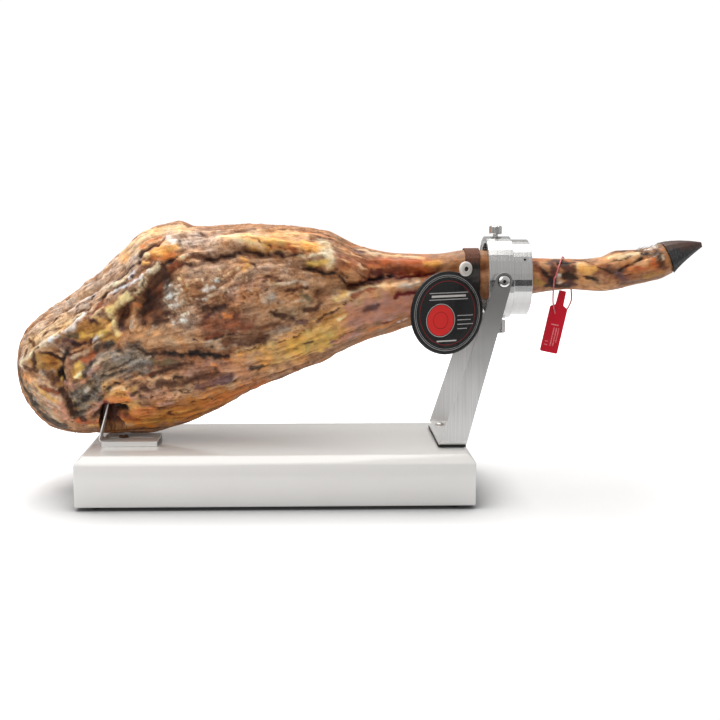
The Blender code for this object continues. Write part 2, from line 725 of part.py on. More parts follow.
def make_claw(name, side):
    """One black claw: a leaning oval base that narrows to the hoof's tip."""
    top = HAM_TOP[-1][1]
    bottom = HAM_BOTTOM[-1][1] + 1 * MM
    base = SHANK_END_X + GAP + 0.1 * MM
    rings = []
    for share in CLAW_SHARES:
        x = base + (HOOF_TIP[0] - base) * share
        upper = top + 2.6 * MM * math.sin(math.pi * share) ** 0.7 + MM * share
        lower = bottom + (HOOF_TIP[1] - bottom) * share
        half = CLAW_HALF_WIDTH * (1 - share ** 2.6) + 0.8 * MM
        middle_y = side * (CLAW_CLEFT + half)
        ring = []
        for i in range(CLAW_SIDES):
            turn = 2 * math.pi * i / CLAW_SIDES
            z = (upper + lower) / 2 + (upper - lower) / 2 * math.sin(turn)
            lean = CORONET_LEAN * (z - (top + bottom) / 2) * (1 - share)
            ring.append((x + lean, middle_y + half * math.cos(turn), z))
        rings.append(ring)
    rings.append([(HOOF_TIP[0], side * (CLAW_CLEFT + 1.5 * MM), HOOF_TIP[1])])
    return add_object(name, loft(name, rings), "horn", 60)


def label_frame():
    """Placement of the label: its local +Z is the printed face's outward."""
    outward = Vector((math.sin(DISC_TURN), -math.cos(DISC_TURN), 0))
    turn = outward.to_track_quat("Z", "Y").to_matrix().to_4x4()
    return Matrix.Translation(DISC_CENTRE) @ turn, outward


def make_label():
    frame, outward = label_frame()
    half = DISC_THICKNESS / 2
    edge = 0.6 * MM
    rim = [(0, half - 0.5 * MM), (DISC_RADIUS - DISC_RIM, half - 0.5 * MM),
           (DISC_RADIUS - DISC_RIM + 0.4 * MM, half), (DISC_RADIUS - edge, half),
           (DISC_RADIUS, half - edge), (DISC_RADIUS, -half + edge),
           (DISC_RADIUS - edge, -half), (0, -half)]
    disc = turned("label_disc", rim, "label_black", 40)
    disc.matrix_world = frame
    button = turned("label_button", [
        (0, 0.6 * MM), (2.2 * MM, 0.6 * MM), (3.0 * MM, 3.2 * MM), (6.2 * MM, 3.0 * MM),
        (BUTTON_RADIUS, 1.6 * MM), (BUTTON_RADIUS, 0), (0, 0)], "button_white", 20)
    along = (BUTTON_X - DISC_CENTRE[0]) / math.cos(DISC_TURN)
    place = Vector((BUTTON_X, DISC_CENTRE[1] + along * math.sin(DISC_TURN), BUTTON_Z))
    button.matrix_world = Matrix.Translation(
        place + outward * (half + GAP) - Vector(DISC_CENTRE)) @ frame
    return [disc, button]


def make_label_strap():
    """A band of webbing round the shank, just off its skin."""
    rings = []
    for angle in np.linspace(0, 2 * math.pi, STRAP_SIDES, endpoint=False):
        ring = []
        for x, lift in ((STRAP_X[0], 0), (STRAP_X[1], 0), (STRAP_X[1], 1), (STRAP_X[0], 1)):
            y, z = ham_section(np.array(x), np.array(angle))
            out = Vector((float(y), float(z) - PIVOT_Z))
            out = out + out.normalized() * (0.9 * MM + lift * STRAP_THICKNESS)
            ring.append((x, out.x, PIVOT_Z + out.y))
        rings.append(ring)
    return add_object("label_strap", loft("label_strap", rings, closed=True), "webbing")


def loop_path():
    """The seal's loop: up in front of the shank, over it and down behind."""
    rows = []
    front = Vector((LOOP_SIDE_X[0] + 3 * MM, TAG_CENTRE[1] - 0.5 * MM, 0.2155))
    back = Vector((LOOP_SIDE_X[1] - 8 * MM, TAG_CENTRE[1] + 0.5 * MM, 0.2145))
    for i in range(LOOP_POINTS):
        share = i / (LOOP_POINTS - 1)
        angle = math.radians(205 - 230 * share)
        x = LOOP_SIDE_X[0] + (LOOP_SIDE_X[1] - LOOP_SIDE_X[0]) * share
        y, z = ham_section(np.array(x), np.array(angle))
        middle = float(outline(HAM_TOP, np.array(x)) + outline(HAM_BOTTOM, np.array(x))) / 2
        out = Vector((float(y), float(z) - middle))
        out = out + out.normalized() * (LOOP_CLEAR + LOOP_RADIUS)
        rows.append(Vector((x, out.x, middle + out.y)))
    return [front] + rows + [back]


def wire_mesh(name, points, radius, sides=6):
    """A round wire as a mesh, its ends closed."""
    curve = bpy.data.curves.new(name, "CURVE")
    curve.dimensions = "3D"
    curve.bevel_depth = radius
    curve.bevel_resolution = max((sides - 4) // 2, 0)
    curve.use_fill_caps = True
    spline = curve.splines.new("POLY")
    spline.points.add(len(points) - 1)
    for point, place in zip(spline.points, points):
        point.co = (*place, 1)
    holder = bpy.data.objects.new(name, curve)
    parts.objects.link(holder)
    graph = bpy.context.evaluated_depsgraph_get()
    mesh = bpy.data.meshes.new_from_object(holder.evaluated_get(graph))
    bpy.data.objects.remove(holder)
    bm = bmesh.new()
    bm.from_mesh(mesh)
    bmesh.ops.remove_doubles(bm, verts=bm.verts, dist=0.00001)
    return mesh_from(bm, name)


def make_seal():
    lean = Matrix.Rotation(TAG_LEAN, 4, "Y")
    size = Vector(TAG_SIZE) / 2
    tag = add_object("seal_tag", box_mesh("seal_tag", -size, size), "seal_red")
    tag.matrix_world = Matrix.Translation(TAG_CENTRE) @ lean
    bevel(tag, 0.3 * MM, 1)
    neck_half = TAG_NECK[0] / 2
    inset = 0.1 * MM
    neck = cutter("neck_add", box_mesh(
        "neck_add", (-neck_half, -size.y + inset, size.z - 2 * MM),
        (neck_half, size.y - inset, size.z + TAG_NECK[2] - 2 * MM)))
    neck.matrix_world = tag.matrix_world
    combine(tag, neck, "UNION")
    loop = cutter("loop_add", wire_mesh("loop_add", loop_path(), LOOP_RADIUS))
    combine(tag, loop, "UNION")
    return tag


# ----------------------------------------------------------------- assembly


def empty(name, location):
    made = bpy.data.objects.new(name, None)
    parts.objects.link(made)
    made.location = location
    return made


def attach(children, parent):
    """Parents objects to an empty and keeps where they are."""
    bpy.context.view_layer.update()
    for child in children:
        place = child.matrix_world.copy()
        child.parent = parent
        child.matrix_parent_inverse = parent.matrix_world.inverted()
        child.matrix_world = place


def model_box():
    """Lowest and highest corners of every part, modifiers included."""
    graph = bpy.context.evaluated_depsgraph_get()
    corners = []
    for item in parts.objects:
        if item.type == "MESH":
            seen = item.evaluated_get(graph)
            mesh = seen.to_mesh()
            corners += [seen.matrix_world @ v.co for v in mesh.vertices]
            seen.to_mesh_clear()
    points = np.array(corners)
    return points.min(0), points.max(0)


clear_scene()
parts = collection("cured_ham_on_stand")
cutters = collection("cutters")
root = empty("stand_root", (0, 0, 0))
head_root = empty("head_pivot", (PIVOT_X, 0, PIVOT_Z))

stand_pieces = [make_plinth(), *make_feet(), make_bracket(), make_bracket_pad(),
                *make_bracket_screws(), make_spike_plate(), make_spike_bolt()]
head_pieces = [*make_collar(), make_set_screw(), *make_pivot_screws(),
               knurled_screw("clamp_screw_top", CLAMP_X[0], 1, 7.5 * MM, 9.5 * MM, 2.5 * MM, 11),
               knurled_screw("clamp_screw_bottom", CLAMP_X[1], -1, 10 * MM, 15 * MM, 2.5 * MM, 12),
               make_ham(), make_claw("claw_near", -1), make_claw("claw_far", 1),
               *make_label(), make_label_strap(), make_seal()]
attach(head_pieces, head_root)
attach(stand_pieces + [head_root] + list(cutters.objects), root)

lowest, highest = model_box()
middle = (lowest + highest) / 2
root.location = (-middle[0], -middle[1], 0)
bpy.context.view_layer.update()
print("size", [round(float(v), 4) for v in highest - lowest])
print("moved by", [round(float(v), 5) for v in root.location])
print("pivot", [round(float(v), 5) for v in head_root.matrix_world.translation])
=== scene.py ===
# %% [markdown]
# # A cured ham on its stand
#
# A whole cured ham is clamped by its shank in a metal collar, and its thick
# end leans on a steel spike.  The stand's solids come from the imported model
# and stay where they are.  Each step below dresses one piece: what it is on
# the real object, how it could be made, and why it is made this way.

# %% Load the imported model
import math
from collections import namedtuple

import bmesh
import bpy
import numpy as np
from mathutils import Matrix, Vector


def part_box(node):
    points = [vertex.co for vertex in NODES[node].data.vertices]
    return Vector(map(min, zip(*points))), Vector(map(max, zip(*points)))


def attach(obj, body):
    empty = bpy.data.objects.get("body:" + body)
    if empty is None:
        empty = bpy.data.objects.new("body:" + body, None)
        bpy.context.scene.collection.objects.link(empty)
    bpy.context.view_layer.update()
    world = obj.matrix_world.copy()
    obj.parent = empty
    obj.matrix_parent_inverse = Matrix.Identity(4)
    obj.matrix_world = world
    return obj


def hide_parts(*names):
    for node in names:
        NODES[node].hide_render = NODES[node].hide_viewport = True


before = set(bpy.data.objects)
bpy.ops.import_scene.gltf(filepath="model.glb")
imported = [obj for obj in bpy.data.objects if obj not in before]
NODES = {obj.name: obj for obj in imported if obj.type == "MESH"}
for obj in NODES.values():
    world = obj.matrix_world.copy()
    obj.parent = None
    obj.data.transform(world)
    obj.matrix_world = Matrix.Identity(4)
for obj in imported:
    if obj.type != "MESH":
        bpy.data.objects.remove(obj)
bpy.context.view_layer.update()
MM = 0.001

# %% [markdown]
# The ham's own lengths below are measured from the middle of the plinth.
# The plinth's box tells how far that middle lies from the frame's origin, so
# one shift carries every point of the ham to its place.

# %% Landmarks of the stand
PLINTH_LOW, PLINTH_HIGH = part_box("plinth")
SHIFT = (PLINTH_LOW.x + PLINTH_HIGH.x) / 2
BOARD_TOP = PLINTH_HIGH.z

print("plinth middle at x", round(SHIFT, 5), "and top at z", round(BOARD_TOP, 4))

# %% [markdown]
# The camera looks a little down on the stand from the front, through a long
# lens, so that the plinth's top shows as a narrow band.

# %% Camera
LENS = 62.5
LENS_SHIFT = 0.028
CAMERA_PLACE = (0.0354 + SHIFT, -1.4532, 0.3555)
CAMERA_PITCH = math.radians(90 - 7.89)
CAMERA_TURN = math.radians(-1.51)


def set_camera():
    lens = bpy.data.cameras.new("front_camera")
    lens.lens = LENS
    lens.shift_x = LENS_SHIFT
    camera = bpy.data.objects.new("front_camera", lens)
    bpy.context.scene.collection.objects.link(camera)
    camera.location = CAMERA_PLACE
    camera.rotation_euler = (CAMERA_PITCH, 0, CAMERA_TURN)
    bpy.context.scene.camera = camera
    return camera


print(set_camera().name, "at", CAMERA_PLACE)

# %% [markdown]
# Every material, and the room's light too, is a graph of nodes.  A small
# writer keeps the graphs short: it adds a node, sets its plain inputs and
# links the others, so that each finish reads as a list of its steps.  What
# most finishes end with, such as a smudged roughness or a bump, is one call.

# %% Node writer
class Graph:
    """Writes nodes into a material or a node group."""

    def __init__(self, tree):
        self.tree = tree

    def add(self, kind, settings=None, out=0, **inputs):
        node = self.tree.nodes.new(kind)
        for name, value in (settings or {}).items():
            setattr(node, name, value)
        for name, value in inputs.items():
            key = int(name[1:]) if name[0] == "_" else name.replace("_", " ")
            self.feed(node.inputs[key], value)
        return node.outputs[out]

    def feed(self, socket, value):
        if isinstance(value, bpy.types.NodeSocket):
            self.tree.links.new(value, socket)
        elif isinstance(value, tuple) and socket.type == "RGBA":
            socket.default_value = (*value[:3], 1)
        else:
            socket.default_value = value

    def math(self, operation, one, two=0.0):
        return self.add("ShaderNodeMath", {"operation": operation}, _0=one, _1=two)

    def mixture(self, *parts, more=0.0):
        """Adds up values, each times its share."""
        total = more
        for share, value in parts:
            total = self.math("ADD", self.math("MULTIPLY", value, share), total)
        return total

    def blend(self, share, one, two, mode="MIX"):
        """Mixes two colours by a share."""
        settings = {"data_type": "RGBA", "blend_type": mode}
        return self.add("ShaderNodeMix", settings, 2, _0=share, _6=one, _7=two)

    def ramp(self, value, low, high, to_low=0.0, to_high=1.0):
        """A smooth step of a value between two levels."""
        settings = {"interpolation_type": "SMOOTHSTEP"}
        return self.add("ShaderNodeMapRange", settings, _0=value, _1=low, _2=high,
                        _3=to_low, _4=to_high)

    def noise(self, vector, scale, detail=2.0, rough=0.5):
        return self.add("ShaderNodeTexNoise", Vector=vector, Scale=scale,
                        Detail=detail, Roughness=rough)

    def vector(self, operation, one, two=(0, 0, 0), out=0):
        return self.add("ShaderNodeVectorMath", {"operation": operation}, out, _0=one, _1=two)

    def part(self, vector, axis):
        """One of a vector's three parts: 0, 1 or 2."""
        return self.add("ShaderNodeSeparateXYZ", out=axis, _0=vector)

    def attribute(self, name, out=0):
        return self.add("ShaderNodeAttribute", {"attribute_name": name}, out)

    def group(self, name, out, **inputs):
        node = self.tree.nodes.new("ShaderNodeGroup")
        node.node_tree = bpy.data.node_groups[name]
        for key, value in inputs.items():
            self.feed(node.inputs[key.replace("_", " ")], value)
        return node.outputs[out]


def new_group(name, inputs, outputs):
    """An empty node group with named sockets, its graph, inputs and output."""
    tree = bpy.data.node_groups.new(name, "ShaderNodeTree")
    for label, kind, value in inputs:
        socket = tree.interface.new_socket(label, in_out="INPUT", socket_type=kind)
        if value is not None:
            socket.default_value = value
    for label, kind in outputs:
        tree.interface.new_socket(label, in_out="OUTPUT", socket_type=kind)
    source = tree.nodes.new("NodeGroupInput")
    sink = tree.nodes.new("NodeGroupOutput")
    return Graph(tree), source.outputs, sink.inputs


def finish(name):
    """A new material, its graph, its shader and the place on the object."""
    made = bpy.data.materials.new(name)
    made.use_nodes = True
    graph = Graph(made.node_tree)
    where = graph.add("ShaderNodeTexCoord", out=3)
    return made, graph, made.node_tree.nodes["Principled BSDF"], where


def feed_looks(graph, shader, colour, smudge=None, bump=None, **plain):
    """Feeds a shader its colour, smudged roughness, bump and plain values.

    A smudge is (place, low, high), a bump is (height, strength, distance).
    """
    graph.feed(shader.inputs["Base Color"], colour)
    if smudge:
        rough = graph.group("smudge", 0, Vector=smudge[0], Low=smudge[1], High=smudge[2])
        graph.feed(shader.inputs["Roughness"], rough)
    if bump:
        normal = graph.add("ShaderNodeBump", Height=bump[0], Strength=bump[1], Distance=bump[2])
        graph.feed(shader.inputs["Normal"], normal)
    for name, value in plain.items():
        graph.feed(shader.inputs[name.replace("_", " ")], value)


VALUE, VECTOR = "NodeSocketFloat", "NodeSocketVector"
print("node writer ready")

# %% [markdown]
# A pale studio: a white floor and a white room, one wide lamp above and a
# weaker one from the left.  Polished metal needs something dark to mirror, so
# the room is darker behind the camera; a smooth map over the directions of
# the room does that without any object in the way.

# %% Room and lamps
ROOM_LIGHT = 0.50
ROOM_DARK = 0.03
ROOM_SEEN = 1.05
ROOM_TINT = (1.0, 0.985, 0.97)
DARK_HEIGHT = -0.30
DARK_BAND = (0.34, 0.12)
BEHIND_CAMERA = (0.25, 0.85)


def set_room():
    world = bpy.data.worlds.new("studio_room")
    bpy.context.scene.world = world
    world.use_nodes = True
    graph = Graph(world.node_tree)
    graph.tree.nodes.clear()
    where = graph.add("ShaderNodeTexCoord")
    back = graph.math("MULTIPLY", graph.part(where, 1), -1.0)
    behind = graph.ramp(back, *BEHIND_CAMERA)
    apart = graph.math("ABSOLUTE", graph.math("SUBTRACT", graph.part(where, 2), DARK_HEIGHT))
    dark = graph.math("MULTIPLY", behind, graph.ramp(apart, *DARK_BAND))
    level = graph.add("ShaderNodeMapRange", _0=dark, _3=ROOM_LIGHT, _4=ROOM_DARK)
    lit = graph.add("ShaderNodeBackground", Color=ROOM_TINT, Strength=level)
    seen = graph.add("ShaderNodeBackground", Color=(1, 1, 1), Strength=ROOM_SEEN)
    shown = graph.add("ShaderNodeMixShader", _0=graph.add("ShaderNodeLightPath"), _1=lit, _2=seen)
    sink = graph.tree.nodes.new("ShaderNodeOutputWorld")
    graph.feed(sink.inputs["Surface"], shown)
    bpy.context.scene.view_settings.view_transform = "Standard"
    return world


def add_lamp(name, place, aim, size, power):
    data = bpy.data.lights.new(name, "AREA")
    data.shape = "RECTANGLE"
    data.size, data.size_y = size
    data.energy = power
    data.color = (1.0, 0.98, 0.95)
    lamp = bpy.data.objects.new(name, data)
    bpy.context.scene.collection.objects.link(lamp)
    lamp.location = place
    lamp.rotation_euler = (Vector(aim) - Vector(place)).to_track_quat("-Z", "Y").to_euler()
    return lamp


print(set_room().name)
for lamp in (add_lamp("top_softbox", (-0.25, 0.12, 1.50), (-0.05, 0.0, 0.1), (2.0, 1.4), 29),
             add_lamp("front_softbox", (-0.9, -1.7, 1.2), (0, 0, 0.15), (1.2, 1.2), 8)):
    print(lamp.name, lamp.data.energy, "W")

# %% [markdown]
# The floor is white paper that runs up into a white wall with no line between
# them.  Near the stand it only takes the light that falls on it, so shadows
# show, and an ambient occlusion node deepens them close to the board.
# Farther out it glows more and more for the camera, until it is as white as
# the room.

# %% Floor
FLOOR_FRONT = -0.42
FLOOR_REACH = 3
PAPER = (0.85, 0.862, 0.88)
NEAR_GLOW = 0.02
FAR_GLOW = 1.0
GLOW_REACH = (0.30, 0.75)
SHADE_REACH = 0.075
SHADE_POWER = 1.2


def make_floor():
    far = FLOOR_REACH
    corners = [(-far, FLOOR_FRONT, 0), (far, FLOOR_FRONT, 0), (far, far, 0), (-far, far, 0)]
    mesh = bpy.data.meshes.new("studio_floor")
    mesh.from_pydata(corners, [], [(0, 1, 2, 3)])
    floor = bpy.data.objects.new("studio_floor", mesh)
    bpy.context.scene.collection.objects.link(floor)
    paint, graph, shader, where = finish("floor_paper")
    open_sky = graph.add("ShaderNodeAmbientOcclusion", {"samples": 12}, 1, Distance=SHADE_REACH)
    deep = graph.math("POWER", open_sky, SHADE_POWER)
    shade = graph.add("ShaderNodeVectorMath", {"operation": "SCALE"}, _0=PAPER, Scale=deep)
    away = graph.vector("LENGTH", where, out=1)
    glow = graph.ramp(away, *GLOW_REACH, NEAR_GLOW, FAR_GLOW)
    seen = graph.math("MULTIPLY", glow, graph.add("ShaderNodeLightPath"))
    feed_looks(graph, shader, shade, Roughness=0.9, Emission_Color=(1, 1, 1),
               Emission_Strength=seen)
    mesh.materials.append(paint)
    return floor


print(make_floor().name)

# %% [markdown]
# Seven effects are shared, each a node group that a material places with its
# own values.  Fibre streaks run along meat: noise looked up several times
# along the fibre and averaged, which smears it that way.

# %% Shared effect: fibre streaks
STREAK_TAPS = 5


def make_fibre_group():
    graph, source, sink = new_group(
        "fibre_streak",
        [("Vector", VECTOR, None), ("Direction", VECTOR, None), ("Scale", VALUE, 500.0),
         ("Reach", VALUE, 0.006)],
        [("Streak", VALUE), ("Fold", VALUE)])
    total = None
    for tap in range(STREAK_TAPS):
        offset = 2 * tap / (STREAK_TAPS - 1) - 1
        step = graph.math("MULTIPLY", source["Reach"], offset)
        along = graph.add("ShaderNodeVectorMath", {"operation": "SCALE"},
                          _0=source["Direction"], Scale=step)
        value = graph.noise(graph.vector("ADD", source["Vector"], along), source["Scale"], 2.0, 0.6)
        total = value if total is None else graph.math("ADD", total, value)
    mean = graph.math("DIVIDE", total, float(STREAK_TAPS))
    graph.feed(sink["Streak"], graph.ramp(mean, 0.30, 0.70))
    apart = graph.math("ABSOLUTE", graph.math("SUBTRACT", mean, 0.5))
    graph.feed(sink["Fold"], graph.ramp(apart, 0.0, 0.10))
    return graph.tree.name


print(make_fibre_group())

# %% [markdown]
# Brushed grain is noise stretched along one axis.  Speckle is a sparse scatter
# of flecks, for dust and lint.  Smudge is the faint clouding that hands leave
# on a glossy surface; it comes out as a roughness between two levels.

# %% Shared effects: brushed grain, speckle, smudge
def make_grain_group():
    graph, source, sink = new_group(
        "brushed_grain", [("Vector", VECTOR, None), ("Scale", VECTOR, None)],
        [("Grain", VALUE), ("Cloud", VALUE)])
    stretched = graph.vector("MULTIPLY", source["Vector"], source["Scale"])
    graph.feed(sink["Grain"], graph.noise(stretched, 1.0, 3.0, 0.6))
    graph.feed(sink["Cloud"], graph.noise(source["Vector"], 28.0, 2.0))
    return graph.tree.name


def make_speckle_group():
    graph, source, sink = new_group(
        "speckle",
        [("Vector", VECTOR, None), ("Scale", VALUE, 600.0), ("Amount", VALUE, 0.5)],
        [("Mask", VALUE)])
    fine = graph.noise(source["Vector"], source["Scale"], 3.0, 0.65)
    patchy = graph.noise(source["Vector"], graph.math("MULTIPLY", source["Scale"], 0.22), 2.0)
    mixed = graph.mixture((0.65, fine), (0.35, patchy))
    level = graph.math("SUBTRACT", 0.72, graph.math("MULTIPLY", source["Amount"], 0.28))
    graph.feed(sink["Mask"], graph.ramp(graph.math("SUBTRACT", mixed, level), 0.0, 0.06))
    return graph.tree.name


def make_smudge_group():
    graph, source, sink = new_group(
        "smudge", [("Vector", VECTOR, None), ("Low", VALUE, 0.2), ("High", VALUE, 0.3)],
        [("Roughness", VALUE)])
    cloud = graph.noise(source["Vector"], 14.0, 4.0, 0.6)
    graph.feed(sink["Roughness"], graph.add("ShaderNodeMapRange", _0=cloud, _1=0.3, _2=0.7,
                                            _3=source["Low"], _4=source["High"]))
    return graph.tree.name


print(make_grain_group(), make_speckle_group(), make_smudge_group())

# %% [markdown]
# The last three measure places.  The distance to an axis darkens what lies
# close to a screw's middle or beyond its rim.  A printed bar and a printed
# ring are masks with a soft edge, which draw the label's and the seal's print.

# %% Shared effects: distance to an axis, printed bar, printed ring
SOFT_EDGE = 0.12 * MM


def make_axis_group():
    graph, source, sink = new_group(
        "axis_distance",
        [("Vector", VECTOR, None), ("Centre", VECTOR, None), ("Axis", VECTOR, None)],
        [("Distance", VALUE)])
    away = graph.vector("SUBTRACT", source["Vector"], source["Centre"])
    across = graph.vector("CROSS_PRODUCT", away, source["Axis"])
    graph.feed(sink["Distance"], graph.vector("LENGTH", across, out=1))
    return graph.tree.name


def make_bar_group():
    graph, source, sink = new_group(
        "print_bar",
        [("Vector", VECTOR, None), ("Centre", VECTOR, None), ("Half", VECTOR, None)],
        [("Mask", VALUE)])
    away = graph.vector("SUBTRACT", source["Vector"], source["Centre"])
    over = graph.vector("SUBTRACT", graph.vector("ABSOLUTE", away), source["Half"])
    farther = graph.math("MAXIMUM", graph.part(over, 0), graph.part(over, 1))
    graph.feed(sink["Mask"], graph.ramp(farther, SOFT_EDGE, -SOFT_EDGE))
    return graph.tree.name


def make_ring_group():
    graph, source, sink = new_group(
        "print_ring",
        [("Vector", VECTOR, None), ("Centre", VECTOR, None), ("Radius", VALUE, 0.01),
         ("Width", VALUE, 0.001)],
        [("Mask", VALUE)])
    away = graph.vector("SUBTRACT", source["Vector"], source["Centre"])
    length = graph.vector("LENGTH", graph.vector("MULTIPLY", away, (1, 1, 0)), out=1)
    apart = graph.math("ABSOLUTE", graph.math("SUBTRACT", length, source["Radius"]))
    over = graph.math("SUBTRACT", apart, graph.math("MULTIPLY", source["Width"], 0.5))
    graph.feed(sink["Mask"], graph.ramp(over, SOFT_EDGE, -SOFT_EDGE))
    return graph.tree.name


print(make_axis_group(), make_bar_group(), make_ring_group())

# %% [markdown]
# ## The ham
#
# The ham is one skin lofted through sections along the leg, with the same
# outlines as the solid that it stands for, but with many more rows.  Close
# rows let real relief carry the creases and lumps, so they catch the light
# from every side.

# %% Outlines of the ham, in metres
BUTT_X = -0.302
SHANK_END_X = 0.4545
BUTT_Z = 0.1465
HAM_TOP = [
    (BUTT_X, BUTT_Z), (-0.294, 0.184), (-0.280, 0.201), (-0.258, 0.2185),
    (-0.230, 0.237), (-0.202, 0.258), (-0.178, 0.281), (-0.150, 0.305),
    (-0.122, 0.3145), (-0.109, 0.316), (-0.092, 0.3105), (-0.070, 0.311),
    (-0.039, 0.313), (0.016, 0.311), (0.058, 0.305), (0.099, 0.287),
    (0.141, 0.279), (0.183, 0.278), (0.225, 0.283), (0.262, 0.280),
    (0.300, 0.273), (0.355, 0.272), (0.377, 0.274), (0.398, 0.282),
    (0.419, 0.2825), (0.440, 0.286), (SHANK_END_X, 0.290),
]
HAM_BOTTOM = [
    (BUTT_X, BUTT_Z), (-0.294, 0.112), (-0.280, 0.091), (-0.265, 0.077),
    (-0.244, 0.0705), (-0.225, 0.0685), (-0.155, 0.0685), (-0.117, 0.0775),
    (-0.067, 0.099), (-0.026, 0.121), (0.016, 0.138), (0.058, 0.155),
    (0.099, 0.176), (0.141, 0.189), (0.190, 0.207), (0.230, 0.224),
    (0.300, 0.232), (0.340, 0.2365), (0.377, 0.2345), (0.398, 0.237),
    (0.419, 0.2425), (0.440, 0.2475), (SHANK_END_X, 0.2555),
]
HAM_NEAR = [
    (BUTT_X, 0.0), (-0.294, 0.024), (-0.280, 0.037), (-0.258, 0.048),
    (-0.220, 0.058), (-0.170, 0.066), (-0.110, 0.070), (-0.050, 0.066),
    (0.000, 0.058), (0.050, 0.047), (0.100, 0.036), (0.150, 0.028),
    (0.200, 0.0235), (0.290, 0.0225), (0.315, 0.018), (0.360, 0.017),
    (0.400, 0.022), (SHANK_END_X, 0.021),
]
HAM_FAR = [
    (BUTT_X, 0.0), (-0.294, 0.028), (-0.280, 0.043), (-0.258, 0.057),
    (-0.220, 0.069), (-0.170, 0.080), (-0.110, 0.086), (-0.050, 0.082),
    (0.000, 0.070), (0.050, 0.055), (0.100, 0.041), (0.150, 0.032),
    (0.200, 0.026), (0.290, 0.0235), (0.315, 0.019), (0.360, 0.018),
    (0.400, 0.022), (SHANK_END_X, 0.021),
]
UPPER_POWER = (2.3, 2.1)
LOWER_POWER = (1.85, 2.0)
CORONET_LEAN = -0.42
CORONET_START = 0.41
print("ham", round((SHANK_END_X - BUTT_X) * 1000), "mm long")


# %% Sections of the ham
def through(points, x):
    """Monotone cubic curve through (x, value) points, read at every x."""
    xs, values = np.array(points, float).T
    step = np.diff(xs)
    slope = np.diff(values) / step
    tangent = np.concatenate((slope[:1], np.zeros(len(slope) - 1), slope[-1:]))
    rising = slope[:-1] * slope[1:] > 0
    before = slope[:-1][rising]
    after = slope[1:][rising]
    tangent[1:-1][rising] = 2 * before * after / (before + after)
    i = np.clip(np.searchsorted(xs, x) - 1, 0, len(step) - 1)
    t = (x - xs[i]) / step[i]
    start = (1 + 2 * t) * (1 - t) ** 2 * values[i]
    leave = t * (1 - t) ** 2 * step[i] * tangent[i]
    end = t * t * (3 - 2 * t) * values[i + 1]
    arrive = t * t * (t - 1) * step[i] * tangent[i + 1]
    return start + leave + end + arrive


def outline(points, x):
    """The same, over the root of the distance from the butt, so it ends round."""
    rooted = [(math.sqrt(px - BUTT_X), value) for px, value in points]
    return through(rooted, np.sqrt(np.maximum(x - BUTT_X, 0)))


def section(x, angle):
    """Points of the plain skin: y and z at x, for angles from the far side up."""
    top, bottom = outline(HAM_TOP, x), outline(HAM_BOTTOM, x)
    side, rise = np.cos(angle), np.sin(angle)
    near = side < 0
    width = np.where(near, outline(HAM_NEAR, x), outline(HAM_FAR, x))
    power = np.where(rise > 0, np.where(near, UPPER_POWER[0], UPPER_POWER[1]),
                     np.where(near, LOWER_POWER[0], LOWER_POWER[1]))
    across = np.sign(side) * np.abs(side) ** (2 / power)
    up = np.sign(rise) * np.abs(rise) ** (2 / power)
    return across * width, (top + bottom) / 2 + up * (top - bottom) / 2


def on_skin(x, z, side):
    """The y of the plain skin at (x, z), on the near (-1) or far (+1) side."""
    top, bottom = outline(HAM_TOP, x), outline(HAM_BOTTOM, x)
    width = outline(HAM_NEAR if side < 0 else HAM_FAR, x)
    up = np.clip((z - (top + bottom) / 2) / ((top - bottom) / 2), -0.998, 0.998)
    which = 0 if side < 0 else 1
    power = np.where(up > 0, UPPER_POWER[which], LOWER_POWER[which])
    return side * width * (1 - np.abs(up) ** power) ** (1 / power)


def coronet_shear(x, z):
    """Moves the last stretch along X so that the hoof's edge leans back."""
    share = np.clip((x - CORONET_START) / (SHANK_END_X - CORONET_START), 0, 1) ** 2
    middle = (HAM_TOP[-1][1] + HAM_BOTTOM[-1][1]) / 2
    return x + share * CORONET_LEAN * (z - middle)


ROWS = 392
ROW_SPREAD = (0.42, 0.58)
NEAR_SIDES = 190
FAR_SIDES = 62


def skin_grid():
    """Points by rows, closer at the butt, and sides, closer on the near face."""
    share = np.linspace(0, 1, ROWS + 1)[1:]
    along = ROW_SPREAD[0] * share ** 2 + ROW_SPREAD[1] * share
    stations = BUTT_X + (SHANK_END_X - BUTT_X) * along
    near = np.linspace(0.5 * math.pi, 1.5 * math.pi, NEAR_SIDES, endpoint=False)
    far = np.linspace(1.5 * math.pi, 2.5 * math.pi, FAR_SIDES, endpoint=False)
    x, angle = np.meshgrid(stations, np.concatenate((near, far)), indexing="ij")
    y, z = section(x, angle)
    return np.stack((coronet_shear(x, z), y, z), axis=-1)


def grid_normals(grid):
    """Outward unit normals of the rows and sides."""
    along = np.gradient(grid, axis=0)
    around = np.roll(grid, -1, 1) - np.roll(grid, 1, 1)
    normal = np.cross(around, along)
    centre = grid.mean(axis=1, keepdims=True)
    facing = np.sum(normal * (grid - centre), axis=(0, 1, 2))
    normal = normal * np.sign(facing)
    return normal / np.maximum(np.linalg.norm(normal, axis=-1, keepdims=True), 1e-12)


GRID = skin_grid()
print("skin of", ROWS, "rows by", NEAR_SIDES + FAR_SIDES, "sides")

# %% [markdown]
# Meat has grain: its streaks, wrinkles and cracks all run one way, and bend
# round the bones.  Plain noise has no direction, so each point carries the
# way its fibres run, and noise is averaged a few steps forwards and back
# along that way.  The noise itself is gradient noise on a lattice, seeded so
# that each run gives the same ham.

# %% Noise with a grain
SEED = 11
NOISE_DICE = np.random.default_rng(SEED)
LATTICE = np.tile(NOISE_DICE.permutation(256), 3)
SLOPES = NOISE_DICE.normal(size=(256, 3))
SLOPES /= np.linalg.norm(SLOPES, axis=1, keepdims=True)


